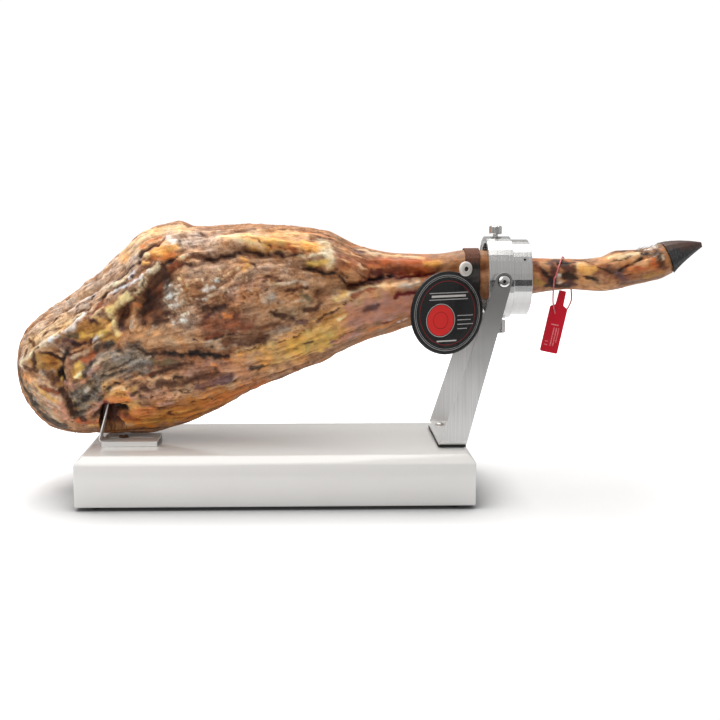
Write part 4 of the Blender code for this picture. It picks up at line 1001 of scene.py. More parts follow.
# %% Cracks of the near face
NEAR_CRACKS = [
    ("umber", 2, [(-226, 223), (-216, 227), (-208, 232), (-203, 233)]),
    ("brown", 1.9, [(-224, 214), (-215, 217), (-208, 221), (-200, 229), (-192, 234)]),
    ("brown", 1.3, [(-242, 197), (-233, 200), (-225, 203), (-219, 209)]),
    ("brown", 1.3, [(-264, 186), (-253, 195), (-244, 198)]),
    ("brown", 1.1, [(-257, 204), (-246, 216), (-237, 219)]),
    ("brown", 1.1, [(-271, 186), (-260, 202)]),
    ("umber", 1.6, [(-165, 251), (-174, 245), (-183, 242), (-190, 236)]),
    ("umber", 1.3, [(-155, 243), (-167, 238), (-176, 238), (-185, 230), (-190, 226)]),
    ("black", 2.6, [(-151, 272), (-158, 268), (-166, 263), (-172, 258), (-181, 252)]),
    ("umber", 1.4, [(-192, 256), (-186, 260)]),
    ("black", 1.4, [(-143, 254), (-140, 259)]),
    ("umber", 1.2, [(-156, 259), (-160, 252)]),
    ("black", 1.7, [(-107, 300), (-106, 291), (-103, 286), (-106, 279), (-114, 274)]),
    ("umber", 1.4, [(-150, 272), (-152, 278), (-150, 285)]),
    ("brown", 1.5, [(-96, 307), (-86, 304), (-77, 300)]),
    ("brown", 1.3, [(-129, 272), (-122, 265), (-119, 259)]),
    ("umber", 1.6, [(-140, 259), (-148, 243), (-165, 227), (-176, 220)]),
    ("brown", 1.2, [(-166, 225), (-167, 209), (-163, 194), (-154, 195)]),
    ("umber", 2.4, [(-75, 277), (-61, 279), (-47, 282), (-36, 286), (-23, 283), (-9, 281), (7, 280),
     (27, 278)]),
    ("red_brown", 1.8, [(4, 286), (18, 283), (36, 280)]),
    ("umber", 1.2, [(-43, 296), (-27, 294), (-14, 289), (-5, 287)]),
    ("brown", 1.6, [(-46, 305), (-37, 307)]),
    ("brown", 1.4, [(-25, 307), (-12, 307)]),
    ("brown", 1.1, [(-2, 306), (11, 307)]),
    ("black", 1.9, [(34, 268), (45, 263), (56, 260), (68, 258), (79, 250), (88, 244)]),
    ("umber", 1.4, [(68, 262), (81, 255), (92, 247)]),
    ("brown", 1.3, [(70, 279), (86, 271), (102, 265)]),
    ("brown", 1.2, [(74, 268), (88, 261), (104, 254)]),
    ("red_brown", 1.3, [(59, 297), (77, 289), (92, 279), (113, 272)]),
    ("wine", 4.6, [(90, 245), (106, 251), (122, 254), (135, 255), (158, 255), (185, 261)]),
    ("black", 3.2, [(95, 247), (115, 253), (135, 256)]),
    ("umber", 1.3, [(34, 200), (52, 209), (70, 220), (86, 227)]),
    ("brown", 1.1, [(-14, 175), (18, 184), (47, 198)]),
    ("red_brown", 1.2, [(59, 175), (79, 186), (104, 195), (133, 204)]),
    ("black", 2.2, [(-122, 171), (-113, 169), (-102, 168), (-88, 169), (-77, 168), (-68, 165)]),
    ("umber", 1.8, [(-163, 176), (-151, 176), (-145, 172)]),
    ("umber", 1.6, [(-147, 171), (-138, 171), (-122, 171)]),
    ("umber", 1.2, [(-90, 186), (-86, 184)]),
    ("red_brown", 1.3, [(-147, 146), (-138, 150), (-122, 146)]),
    ("umber", 1.5, [(-167, 132), (-156, 139), (-142, 139)]),
    ("umber", 1.5, [(-131, 148), (-120, 147), (-106, 144)]),
    ("black", 1.7, [(-115, 142), (-113, 145)]),
    ("brown", 1.1, [(-111, 128), (-95, 130)]),
    ("brown", 1.3, [(-145, 110), (-131, 105), (-115, 107), (-93, 112)]),
    ("brown", 1.1, [(-88, 114), (-77, 116), (-66, 112)]),
    ("dark_slate", 2, [(-151, 148), (-172, 140), (-185, 132), (-194, 121), (-208, 111), (-219, 103),
     (-235, 87)]),
    ("dark_slate", 1.3, [(-156, 165), (-176, 155), (-196, 148)]),
    ("dark_slate", 1.3, [(-196, 135), (-210, 121)]),
    ("black", 1.3, [(-205, 130), (-198, 125)]),
    ("umber", 1.4, [(-192, 127), (-187, 132), (-181, 137), (-172, 138)]),
    ("umber", 1.3, [(-169, 111), (-160, 114), (-149, 112)]),
    ("brown", 1.2, [(-237, 132), (-239, 116), (-235, 103)]),
    ("black", 1.3, [(422, 273), (410, 267), (395, 262)]),
    ("umber", 1.3, [(372, 263), (386, 258)]),
    ("brown", 1.1, [(353, 253), (362, 250)]),
    ("umber", 1.1, [(385, 269), (403, 273), (416, 277)]),
    ("brown", 1.1, [(401, 253), (428, 260)]),
    ("umber", 1.2, [(304, 262), (310, 256)]),
    ("umber", 1.4, [(-43, 171), (-27, 173), (-14, 177)]),
    ("umber", 1.3, [(-140, 121), (-117, 128), (-99, 125)]),
    ("umber", 1.3, [(-20, 148), (-7, 155)]),
    ("umber", 1.2, [(-88, 175), (-70, 177)]),
    ("black", 1.4, [(-68, 186), (-47, 193)]),
    ("umber", 1.2, [(20, 171), (41, 180)]),
]
print(len(NEAR_CRACKS), "cracks")

# %% Flecks of mould, salt and dried fat
FLECKS = [
    ("mould", 46, (-105, 228), (20, 20)),
    ("mould", 16, (-72, 246), (9, 10)),
    ("sand", 30, (-70, 252), (40, 14)),
    ("greige", 26, (-10, 240), (34, 14)),
    ("umber", 34, (-20, 232), (70, 20)),
    ("umber", 26, (-120, 136), (60, 22)),
    ("brown", 24, (-220, 218), (40, 16)),
    ("black", 12, (-200, 130), (24, 18)),
]


def scattered(paint, count, middle, spread):
    """Small curved flecks thrown round a middle."""
    for _ in range(count):
        start = np.array(middle) + np.clip(FLECK_DICE.normal(size=2), -1.6, 1.6) * spread * 0.6
        way = FLECK_DICE.uniform(0, 2 * math.pi)
        bend = FLECK_DICE.uniform(-1.5, 1.5)
        size = FLECK_DICE.uniform(1.5, 4.0)
        line = [start + size * k * np.array((math.cos(way + bend * k),
                                             0.7 * math.sin(way + bend * k)))
                for k in (0, 0.5, 1)]
        yield paint, FLECK_DICE.uniform(0.8, 1.5), 0.5, line


FLECK_DICE = np.random.default_rng(5)
NEAR_FLECKS = [fleck for kind in FLECKS for fleck in scattered(*kind)]
print(len(NEAR_FLECKS), "flecks")

# %% [markdown]
# The far side is the rind: smoother, with fewer and broader marks.

# %% Far side: the rind with its fat
FAR_PATCHES = [
    ("amber", 30, 0.5, [(-230, 120), (-150, 110), (-80, 130)]),
    ("gold", 20, 0.55, [(-200, 232), (-120, 272), (-40, 280)]),
    ("tan", 22, 0.6, [(-280, 130), (-262, 170), (-225, 214)]),
    ("brown", 18, 0.5, [(-190, 176), (-120, 190), (-60, 200)]),
    ("mustard", 20, 0.45, [(-40, 150), (30, 184), (80, 208)]),
    ("greige", 16, 0.4, [(-120, 236), (-60, 244), (0, 244)]),
    ("orange", 13, 0.5, [(60, 238), (120, 246), (210, 258)]),
    ("red_brown", 9, 0.5, [(90, 224), (160, 236), (220, 244)]),
    ("tan", 10, 0.5, [(290, 252), (380, 254), (445, 270)]),
]
FAR_RIDGES = [
    ("dark_rind", 12, -3.5, [(-196, 196), (-130, 206), (-60, 222), (0, 240)]),
    ("tan", 7, 2.0, [(-190, 214), (-120, 226), (-50, 240)]),
    ("yellow", 8, 1.5, [(-150, 96), (-110, 106), (-60, 130)]),
    ("gold", 5, 2.0, [(40, 222), (110, 238), (190, 250)]),
    ("brown", 7, -2.0, [(-262, 190), (-226, 220), (-190, 246)]),
    ("brown", 8, -2.0, [(-236, 130), (-200, 112), (-150, 108)]),
    ("sand", 4, 1.0, [(-258, 150), (-240, 160), (-214, 162)]),
    ("umber", 5, -1.0, [(-90, 160), (-50, 172), (-20, 190)]),
    ("frost_and_highlight", 3, 0.6, [(-150, 250), (-120, 258), (-96, 258)]),
    ("black", 4, -0.5, [(330, 246), (348, 252)]),
    ("umber", 4, -0.5, [(366, 262), (392, 264)]),
]
FAR_CRACKS = [
    ("umber", 1.7, [(-216, 150), (-180, 160), (-150, 162), (-112, 172)]),
    ("umber", 1.5, [(-60, 200), (-26, 206), (10, 222), (58, 236)]),
    ("brown", 1.6, [(-150, 140), (-124, 138), (-100, 146)]),
    ("umber", 1.4, [(-232, 206), (-214, 222), (-196, 232)]),
    ("brown", 1.4, [(-30, 170), (10, 190), (44, 202)]),
    ("umber", 1.3, [(100, 240), (140, 248), (176, 250)]),
    ("brown", 1.3, [(300, 262), (340, 258)]),
]


def marks_of(patches, ridges, cracks):
    """One list of marks, the large ones first."""
    return ([Mark("patch", paint, width, amount, 0.0, line) for paint, width, amount, line in patches]
            + [Mark("ridge", paint, width, 0.95, lift, line) for paint, width, lift, line in ridges]
            + [Mark("crack", paint, width, 1.0, -width, line) for paint, width, line in cracks])


MARKS = [(marks_of(FAR_PATCHES, FAR_RIDGES, FAR_CRACKS), 1),
         (marks_of(NEAR_PATCHES, NEAR_FLECKS + NEAR_RIDGES, NEAR_CRACKS), -1)]
print(sum(len(marks) for marks, side in MARKS), "marks in all")

# %% [markdown]
# Under the marks lie broad folds and hollows, the ones that the solid has too.
# They carry no paint; each is a height and a width in millimetres and a line.

# %% Broad relief, the same on both models
BROAD_NEAR = [
    (8, 11, [(-62, 292), (-30, 294), (5, 288), (34, 284), (60, 274), (90, 262)]),
    (-6, 8, [(-74, 276), (-50, 280), (-35, 284), (5, 276), (34, 268), (60, 256), (90, 244)]),
    (7.5, 9, [(-285, 156), (-253, 181), (-217, 204), (-182, 222), (-150, 249), (-128, 268)]),
    (-11, 13, [(-126, 256), (-134, 240), (-144, 226), (-168, 218)]),
    (-5, 8, [(-262, 204), (-215, 236), (-172, 264)]),
    (-5, 24, [(-110, 236), (-70, 232)]),
    (-4, 8, [(-155, 178), (-110, 172), (-45, 174), (-5, 188)]),
    (-5, 8, [(-250, 168), (-246, 140), (-232, 100)]),
    (3, 16, [(-190, 122), (-110, 116)]),
    (-6.5, 7.5, [(50, 236), (110, 246), (170, 256), (240, 262)]),
    (-3, 7, [(60, 205), (120, 222), (185, 234)]),
    (-2.5, 4, [(404, 266), (420, 271), (436, 279)]),
    (-1.5, 5, [(372, 256), (392, 252)]),
]
BROAD_FAR = [
    (-3, 9, [(60, 238), (120, 242), (180, 250), (240, 256)]),
    (5, 45, [(-190, 160), (-80, 190)]),
]
print(len(BROAD_NEAR) + len(BROAD_FAR), "broad folds")

# %% [markdown]
# A mark is drawn flat, but it has to lie on a round ham.  Its line is first
# laid on the skin, so that distances to it are real ones and a mark near the
# top does not smear across the back.  Before they look up the marks, the
# points of the skin are shaken a little by clouds of noise, which tears the
# edges of every mark.

# %% Laying marks on the skin
STEP = 6 * MM
FIBRE_REACH = 45 * MM
FIBRE_HOLD = 7 * MM


def laid(points, side):
    """A mark's line in metres on the skin, cut into short stretches."""
    flat = np.array(points, float) * MM
    rows = [flat[0]]
    for one, two in zip(flat, flat[1:]):
        count = max(1, int(np.hypot(*(two - one)) / STEP))
        rows += [one + (two - one) * (i + 1) / count for i in range(count)]
    flat = np.array(rows)
    y = on_skin(flat[:, 0], flat[:, 1], side)
    return np.stack((flat[:, 0], y, flat[:, 1]), axis=1)


def line_distance(line, points, reach):
    """Distance of each point from a line, and the line's way at its nearest."""
    distance = np.full(len(points), 9.0)
    low, high = line.min(0) - reach, line.max(0) + reach
    close = np.nonzero(np.all((points > low) & (points < high), axis=1))[0]
    if not len(close):
        return close, distance[close], None
    near = points[close]
    best = np.full(len(close), 9.0)
    way = np.zeros((len(close), 3))
    for one, two in zip(line, line[1:]):
        run = two - one
        share = np.clip((near - one) @ run / (run @ run), 0, 1)
        away = np.linalg.norm(near - one - share[:, None] * run, axis=1)
        nearer = away < best
        best[nearer] = away[nearer]
        way[nearer] = run / np.linalg.norm(run)
    return close, best, way


def profile(kind, ratio):
    """How strong a mark is at a distance of so many of its widths."""
    if kind == "patch":
        return np.clip(1.5 - ratio, 0, 1.1) / 1.1
    if kind == "crack":
        return np.exp(-ratio * 1.15)
    return np.exp(-ratio ** 2)


def fibre_way(points, normals):
    """The way the fibres run at each point: along the marks, where there are any."""
    way = np.zeros(points.shape) + (0.25, 0, 0.04)
    for marks, side in MARKS:
        for mark in marks:
            line = laid(mark.points, side)
            close, away, run = line_distance(line, points, FIBRE_REACH)
            if run is None:
                continue
            run = run * np.where(run @ (0.75, 0, 0.5) < 0, -1, 1)[:, None]
            way[close] += run * (1 / (1 + (away / FIBRE_HOLD) ** 2))[:, None]
    way -= normals * np.sum(way * normals, axis=1, keepdims=True)
    return way / np.maximum(np.linalg.norm(way, axis=1, keepdims=True), 1e-9)


flat_points = GRID.reshape(-1, 3)
flat_normals = grid_normals(GRID).reshape(-1, 3)
FIBRE = fibre_way(flat_points, flat_normals)
print("fibres lean up by", round(math.degrees(math.asin(float(FIBRE[:, 2].mean()))), 1), "degrees")


# %% Painting and lifting the skin
def srgb(red, green, blue):
    """A paint colour given in 0-255 steps, as the linear values of a shader."""
    steps = np.array((red, green, blue)) / 255
    return tuple(np.where(steps <= 0.04045, steps / 12.92, ((steps + 0.055) / 1.055) ** 2.4))


def smooth_step(value, low, high):
    share = np.clip((value - low) / (high - low), 0, 1)
    return share * share * (3 - 2 * share)


WIDE_SHAKE = (16 * MM, 2.2 * MM)
FINE_SHAKE = (5 * MM, 1.4 * MM)


def paint_skin():
    """Colour (linear), crumbliness and lift (metres) of every point."""
    shaken = flat_points.copy()
    for axis in range(3):
        wide = clouds(flat_points, WIDE_SHAKE[0], 2, 20 + axis) * WIDE_SHAKE[1]
        fine = noise(flat_points, FINE_SHAKE[0], 30 + axis) * FINE_SHAKE[1]
        shaken[:, axis] += wide + fine
    torn = clouds(flat_points, 9 * MM, 3, 40)
    paints = {name: np.array((*srgb(*look[:3]), look[3])) for name, look in PAINTS.items()}
    look = np.tile(paints["flesh"], (len(flat_points), 1))
    rind = smooth_step(flat_points[:, 1] + 6 * MM * torn, -6 * MM, 16 * MM)[:, None]
    broad = smooth_step(clouds(flat_points, 55 * MM, 4, 60), -0.55, 0.45)[:, None]
    look += rind * (paints["dark_rind"] * (1 - broad) + paints["rind"] * broad - look)
    lift = np.zeros(len(flat_points))
    for folds, side in ((BROAD_NEAR, -1), (BROAD_FAR, 1)):
        for height, width, points in folds:
            close, away, _ = line_distance(laid(points, side), flat_points, 3 * width * MM)
            lift[close] += height * MM * np.exp(-(away / (width * MM)) ** 2)
    for marks, side in MARKS:
        for mark in marks:
            width = mark.width * MM
            close, away, _ = line_distance(laid(mark.points, side), shaken, 4 * width)
            if not len(close):
                continue
            share = profile(mark.kind, away / width)
            ragged = share + 0.45 * torn[close] * np.minimum(share * 4, 1)
            cover = (mark.amount * smooth_step(ragged, 0.05, 0.85))[:, None]
            look[close] = look[close] * (1 - cover) + paints[mark.paint] * cover
            lift[close] += mark.lift * MM * share
    return look[:, :3], look[:, 3], lift


PAINTED, CRUMBLY, LIFT = paint_skin()
print("relief from", round(LIFT.min() * 1000, 1), "to", round(LIFT.max() * 1000, 1), "mm")

# %% [markdown]
# Between the marks the skin is still wrinkled.  Streaks along the grain make
# wrinkles and clouds make lumps, less where strap, collar and seal touch the
# shank.  Light and shade are painted into the colour: a point is painted darker
# the lower it lies under the average of its neighbours, near and wide, and
# painted lighter where it stands above them; the wrinkle streaks lighten and
# darken it too.

# %% Fine relief and its shading
RESTING_ZONE = (0.070, 0.092)
CLOSE_HOLLOW = (9, 1.1 * MM)
WIDE_HOLLOW = (60, 3.5 * MM)
WARM_CLOUD = np.array((0.14, -0.03, -0.26))
WARM_BASE = (-0.01, -0.015, -0.07)
CALM_BANDS = {"strap": (0.226, 0.016, 0.9), "collar": (0.268, 0.026, 0.75),
              "seal": (0.334, 0.018, 0.7)}


def calm_places(x):
    """How rough the skin may be: less on the leg, and at each calm band."""
    rough = 1 - 0.65 * smooth_step(x, 0.02, 0.12)
    for middle, half, calm in CALM_BANDS.values():
        rough = rough * (1 - calm * np.exp(-((x - middle) / half) ** 4))
    return rough * (1 - 0.8 * smooth_step(x, 0.435, 0.45))


def fine_lift():
    """Wrinkles along the grain, lumps across it, and small pits."""
    wide = streaks(flat_points, FIBRE, 9 * MM, 16 * MM, 1)
    thin = streaks(flat_points, FIBRE, 4 * MM, 8 * MM, 2)
    lumps = clouds(flat_points, 20 * MM, 2, 3)
    creased = 1 - np.abs(thin)
    rough = calm_places(flat_points[:, 0])
    smooth = np.where(flat_points[:, 1] > 0, 0.45, 1.0)
    return rough * smooth * (1.5 * MM * wide + 1.0 * MM * thin + 1.2 * MM * lumps
                             - 0.9 * MM * np.clip(creased - 0.86, 0, 0.14) / 0.14), wide, thin


def softened(values, passes):
    """Values of the grid averaged with their neighbours, several times."""
    grid = values.reshape(ROWS, -1)
    for _ in range(passes):
        grid = (np.roll(grid, 1, 1) + np.roll(grid, -1, 1) + 2 * grid) / 4
        padded = np.pad(grid, ((1, 1), (0, 0)), "edge")
        grid = (padded[:-2] + padded[2:] + 2 * grid) / 4
    return grid.reshape(-1)


FINE, WIDE, THIN = fine_lift()
UNDERSIDE = smooth_step(flat_points[:, 2], *RESTING_ZONE)
HEIGHT = LIFT + FINE
HEIGHT = np.where(HEIGHT > 0, HEIGHT * UNDERSIDE, HEIGHT)
HOLLOW, BASIN = (np.clip((softened(HEIGHT, passes) - HEIGHT) / depth, -1, 1)
                 for passes, depth in (CLOSE_HOLLOW, WIDE_HOLLOW))
# Painted shade in hollows and painted highlight on rises, from the relief's height; the wrinkle
# streaks then lighten and darken it more.
SHADE = 1 - 0.36 * np.clip(HOLLOW, 0, 1) + 0.16 * np.clip(-HOLLOW, 0, 1)
SHADE *= 1 - 0.45 * np.clip(BASIN, 0, 1) + 0.18 * np.clip(-BASIN, 0, 1)
SHADE *= 1 + 0.16 * np.clip(WIDE, -1, 1) + 0.12 * np.clip(THIN, -1, 1)
WARMTH = clouds(flat_points, 20 * MM, 3, 50)[:, None] * WARM_CLOUD + WARM_BASE
# The tone is the paint with this painted shade and highlight in it.
SHADED_TONE = np.clip(PAINTED * SHADE[:, None] ** np.array((0.85, 1.05, 1.2)) * (1 + WARMTH), 0.002, 1)
CRUMBS = np.clip(CRUMBLY * (0.4 + 0.6 * calm_places(flat_points[:, 0])), 0, 1)
print("hollows on", round(100 * float((HOLLOW > 0.3).mean())), "% of the skin")

# %% [markdown]
# The mesh is a grid of rings with a point at the thick end and a lid at the
# hoof.  It takes along what the paint needs at each point: the tone, with its
# painted shade and highlight, the way of the fibres and how crumbly the skin is.

# %% The ham as one mesh
BUTT_FADE = 0.012


def new_mesh(name, points, faces):
    mesh = bpy.data.meshes.new(name)
    mesh.from_pydata(np.asarray(points).tolist(), [], faces)
    return mesh


def between_rings(start, rows, sides):
    """Faces between rings of points that follow one another."""
    faces = []
    for low in range(start, start + (rows - 1) * sides, sides):
        for k in range(sides):
            after = (k + 1) % sides
            faces.append((low + k, low + after, low + sides + after, low + sides + k))
    return faces


def lids(start, rows, sides):
    """The faces that close the first and the last ring."""
    last = start + (rows - 1) * sides
    return [tuple(range(start, start + sides)), tuple(range(last, last + sides))]


def ham_mesh():
    fade = smooth_step(flat_points[:, 0], BUTT_X, BUTT_X + BUTT_FADE)
    moved = flat_points + flat_normals * (HEIGHT * fade)[:, None]
    sides = NEAR_SIDES + FAR_SIDES
    points = np.concatenate((np.array([[BUTT_X, 0, BUTT_Z]]), moved)) + (SHIFT, 0, 0)
    butt = [(0, 1 + (k + 1) % sides, 1 + k) for k in range(sides)]
    faces = butt + between_rings(1, ROWS, sides) + lids(1, ROWS, sides)[1:]
    return new_mesh("cured_ham", points, faces)


def with_tip(values):
    """Values of the skin, with those of its first point again for the tip."""
    return np.concatenate((values[:1], values))


def put(mesh, name, values):
    """Stores a value, a vector or a colour at each point of a mesh."""
    if name == "tone":
        layer = mesh.attributes.new(name, "FLOAT_COLOR", "POINT")
        full = np.concatenate((values, np.ones((len(values), 1))), axis=1)
        layer.data.foreach_set("color", full.astype(np.float32).ravel())
    elif values.ndim == 2:
        layer = mesh.attributes.new(name, "FLOAT_VECTOR", "POINT")
        layer.data.foreach_set("vector", values.astype(np.float32).ravel())
    else:
        layer = mesh.attributes.new(name, "FLOAT", "POINT")
        layer.data.foreach_set("value", values.astype(np.float32))


def face_out(mesh):
    """Turns the faces outwards and shades them smooth."""
    bm = bmesh.new()
    bm.from_mesh(mesh)
    bmesh.ops.recalc_face_normals(bm, faces=bm.faces)
    if bm.calc_volume(signed=True) < 0:
        bmesh.ops.reverse_faces(bm, faces=bm.faces)
    bm.to_mesh(mesh)
    bm.free()
    mesh.shade_smooth()


def place_piece(name, mesh, paint, body, sharp=None):
    """Puts a finished mesh in the scene as a piece of the object."""
    piece = bpy.data.objects.new(name, mesh)
    bpy.context.scene.collection.objects.link(piece)
    mesh.materials.append(paint)
    if sharp is not None:
        mesh.shade_smooth()
        mesh.set_sharp_from_angle(angle=math.radians(sharp))
    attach(piece, body)
    return piece


HAM_MESH = ham_mesh()
for name, values in (("tone", SHADED_TONE), ("fibre", FIBRE), ("crumbs", CRUMBS)):
    put(HAM_MESH, name, with_tip(values))
face_out(HAM_MESH)
print(len(HAM_MESH.polygons), "faces")

# %% [markdown]
# ### Paint of the ham
#
# The marks give the large colours.  Between them the paint adds what is too
# fine for the mesh: strands along the grain, painted shade in the creases
# between strands and painted highlight on their tops, and an oily film that
# makes fat shine more than dried lean.

# %% Paint of the ham
def ham_paint():
    made, graph, shader, where = finish("cured_meat_skin")
    tone, fibre = graph.attribute("tone"), graph.attribute("fibre", 1)
    crumbs = graph.attribute("crumbs", 2)
    fold = graph.group("fibre_streak", 1, Vector=where, Direction=fibre, Scale=170.0,
                       Reach=0.0050)
    thread = graph.group("fibre_streak", 0, Vector=where, Direction=fibre, Scale=420.0,
                         Reach=0.0024)
    crumb = graph.ramp(graph.noise(where, 150.0, 5.0, 0.68), 0.28, 0.72)
    height = graph.mixture((0.44, crumb), (0.30, thread), (0.26, fold))
    # Painted shade in the low places of the fine relief and painted highlight on its high places.
    dark = graph.blend(1.0, tone, (0.34, 0.24, 0.19), "MULTIPLY")
    light = graph.blend(1.0, tone, (1.75, 1.70, 1.62), "MULTIPLY")
    amount = graph.mixture((0.62, crumbs), more=0.08)
    low = graph.math("MULTIPLY", graph.ramp(height, 0.52, 0.22), amount)
    high = graph.math("MULTIPLY", graph.ramp(height, 0.55, 0.88), amount)
    depth = graph.math("MULTIPLY", height, graph.mixture((0.85, crumbs), more=0.15))
    feed_looks(graph, shader, graph.blend(high, graph.blend(low, tone, dark), light),
               bump=(depth, 0.8, 0.0015), Specular_IOR_Level=0.3)
    film = graph.group("smudge", 0, Vector=where, Low=0.26, High=0.46)
    graph.feed(shader.inputs["Roughness"], graph.mixture((0.22, crumbs), more=film))
    return made


HAM = place_piece("cured_ham_skin", HAM_MESH, ham_paint(), "head")
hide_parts("ham")
print(HAM.name)

# %% [markdown]
# ### The wound
#
# The steel spike has torn the ham where it went in.  A tapering plug, rough
# with noise, is cut out of the skin round the blade, and the walls it leaves
# are dark, wet meat.

# %% Wound
WOUND_LEFT = -0.2055
WOUND_Y = -0.032
WOUND_ROWS = [(0.059, 0.000, 0.038, 0.020), (0.089, 0.002, 0.028, 0.018),
              (0.113, 0.006, 0.014, 0.012)]
WOUND_STEPS = 16
WOUND_SIDES = 40
WOUND_TONE = (0.10, 0.03, 0.015)
WOUND_CELL = 6 * MM
WOUND_ROUGH = 0.9 * MM


def wound_plug():
    """The plug as a mesh: rings from low to high, the last one closed."""
    levels = np.linspace(WOUND_ROWS[0][0], WOUND_ROWS[-1][0], WOUND_STEPS)
    heights, shifts, lengths, halves = np.array(WOUND_ROWS).T
    turn = np.linspace(0, 2 * math.pi, WOUND_SIDES, endpoint=False)
    along = np.sign(np.cos(turn)) * np.abs(np.cos(turn)) ** 0.5
    across = np.sign(np.sin(turn)) * np.abs(np.sin(turn)) ** 0.5
    rings = []
    for z in levels:
        length = np.interp(z, heights, lengths)
        half = np.interp(z, heights, halves)
        x = WOUND_LEFT + np.interp(z, heights, shifts) + length / 2 * (1 + along)
        y = WOUND_Y + half * across * (1 - 0.3 * (1 + along))
        rings.append(np.stack((x, y, np.full(WOUND_SIDES, z)), axis=1))
    points = np.array(rings)
    points[1:, :, 0] += clouds(points[1:], WOUND_CELL, 2, 70) * WOUND_ROUGH
    points[1:, :, 1] += clouds(points[1:], WOUND_CELL, 2, 71) * WOUND_ROUGH
    mesh = new_mesh("wound_plug", points.reshape(-1, 3) + (SHIFT, 0, 0),
                    lids(0, WOUND_STEPS, WOUND_SIDES)
                    + between_rings(0, WOUND_STEPS, WOUND_SIDES))
    face_out(mesh)
    return mesh


def wound_paint():
    made, graph, shader, where = finish("torn_meat")
    cloud = graph.noise(graph.vector("MULTIPLY", where, (260.0, 260.0, 90.0)), 1.0, 4.0, 0.65)
    patchy = graph.ramp(cloud, 0.35, 0.7)
    deep = graph.blend(patchy, (0.030, 0.008, 0.004), (0.150, 0.036, 0.014))
    fat = graph.blend(patchy, (0.16, 0.055, 0.015), (0.50, 0.22, 0.07))
    height = graph.mixture((0.012, cloud), more=graph.part(where, 2))
    feed_looks(graph, shader, graph.blend(graph.ramp(height, 0.096, 0.088), deep, fat),
               (where, 0.30, 0.50), (cloud, 0.8, 0.0012))
    return made


def carve(piece, plug_mesh, paint):
    """Cuts the plug out of a piece; the walls get a paint of their own."""
    count = len(plug_mesh.vertices)
    put(plug_mesh, "tone", np.tile(WOUND_TONE, (count, 1)))
    put(plug_mesh, "fibre", np.tile((0.0, 0.0, 1.0), (count, 1)))
    put(plug_mesh, "crumbs", np.full(count, 0.4))
    plug = bpy.data.objects.new("plug", plug_mesh)
    plug_mesh.materials.append(paint)
    bpy.context.scene.collection.objects.link(plug)
    cut = piece.modifiers.new("cut", "BOOLEAN")
    cut.operation = "DIFFERENCE"
    cut.object = plug
    cut.solver = "EXACT"
    cut.material_mode = "TRANSFER"
    graph = bpy.context.evaluated_depsgraph_get()
    mesh = bpy.data.meshes.new_from_object(
        piece.evaluated_get(graph), preserve_all_data_layers=True, depsgraph=graph)
    bm = bmesh.new()
    bm.from_mesh(mesh)
    rim = [e for e in bm.edges if len({face.material_index for face in e.link_faces}) > 1]
    tone = bm.verts.layers.float_color["tone"]
    for edge in rim:
        edge.smooth = False
        for vert in edge.verts:
            vert[tone] = (*WOUND_TONE, 1)
    bm.to_mesh(mesh)
    bm.free()
    piece.modifiers.clear()
    piece.data = mesh
    bpy.data.objects.remove(plug)


before = len(HAM.data.polygons)
carve(HAM, wound_plug(), wound_paint())
print("faces", before, "to", len(HAM.data.polygons), [m.name for m in HAM.data.materials])

# %% [markdown]
# ### Strands
#
# Grey bristles stand round the edge of the hoof, and two long fibres hang
# from the thick end.  Each is a thin tube that narrows to its tip; all of one
# kind are one mesh.

# %% Tubes and smooth paths
SIDE_HINT = (0.13, 0.98, 0.11)


def curved(points, steps=6):
    """A smooth path that passes through every point."""
    rows = [np.array(p, float) for p in points]
    rows = [2 * rows[0] - rows[1]] + rows + [2 * rows[-1] - rows[-2]]
    path = []
    for i in range(1, len(rows) - 2):
        a, b, c, d = rows[i - 1:i + 3]
        for t in np.arange(steps) / steps:
            path.append(0.5 * (2 * b + (c - a) * t + (2 * a - 5 * b + 4 * c - d) * t * t
                               + (3 * b - a - 3 * c + d) * t ** 3))
    path.append(rows[-2])
    return np.array(path)


def tubes(name, paths, radius, sides, tip=1.0):
    """Round tubes along paths; each narrows to a share of its radius."""
    points, faces = [], []
    for path in paths:
        start = len(points)
        along = np.gradient(path, axis=0)
        along /= np.linalg.norm(along, axis=1, keepdims=True)
        side = np.cross(along, SIDE_HINT)
        side /= np.linalg.norm(side, axis=1, keepdims=True)
        other = np.cross(along, side)
        for i, place in enumerate(path):
            thick = radius * (1 + (tip - 1) * i / (len(path) - 1))
            for turn in np.linspace(0, 2 * math.pi, sides, endpoint=False):
                points.append(place + thick * (math.cos(turn) * side[i]
                                               + math.sin(turn) * other[i]))
        faces += between_rings(start, len(path), sides) + lids(start, len(path), sides)
    mesh = new_mesh(name, points, faces)
    face_out(mesh)
    return mesh


print("a test path has", len(curved([(0, 0, 0), (1, 0, 0), (1, 1, 0)])), "points")

# %% Bristles and fibres
BRISTLES = 150
BRISTLE_RADIUS = 0.22 * MM
FIBRE_RADIUS = 0.5 * MM
HOOF_MIDDLE_Z = 0.272
BRISTLE_DICE = np.random.default_rng(8)


def strand_paint(name, dark, light):
    made, graph, shader, where = finish(name)
    shade = graph.ramp(graph.noise(where, 260.0, 2.0), 0.35, 0.65)
    feed_looks(graph, shader, graph.blend(shade, dark, light), (where, 0.45, 0.60))
    return made


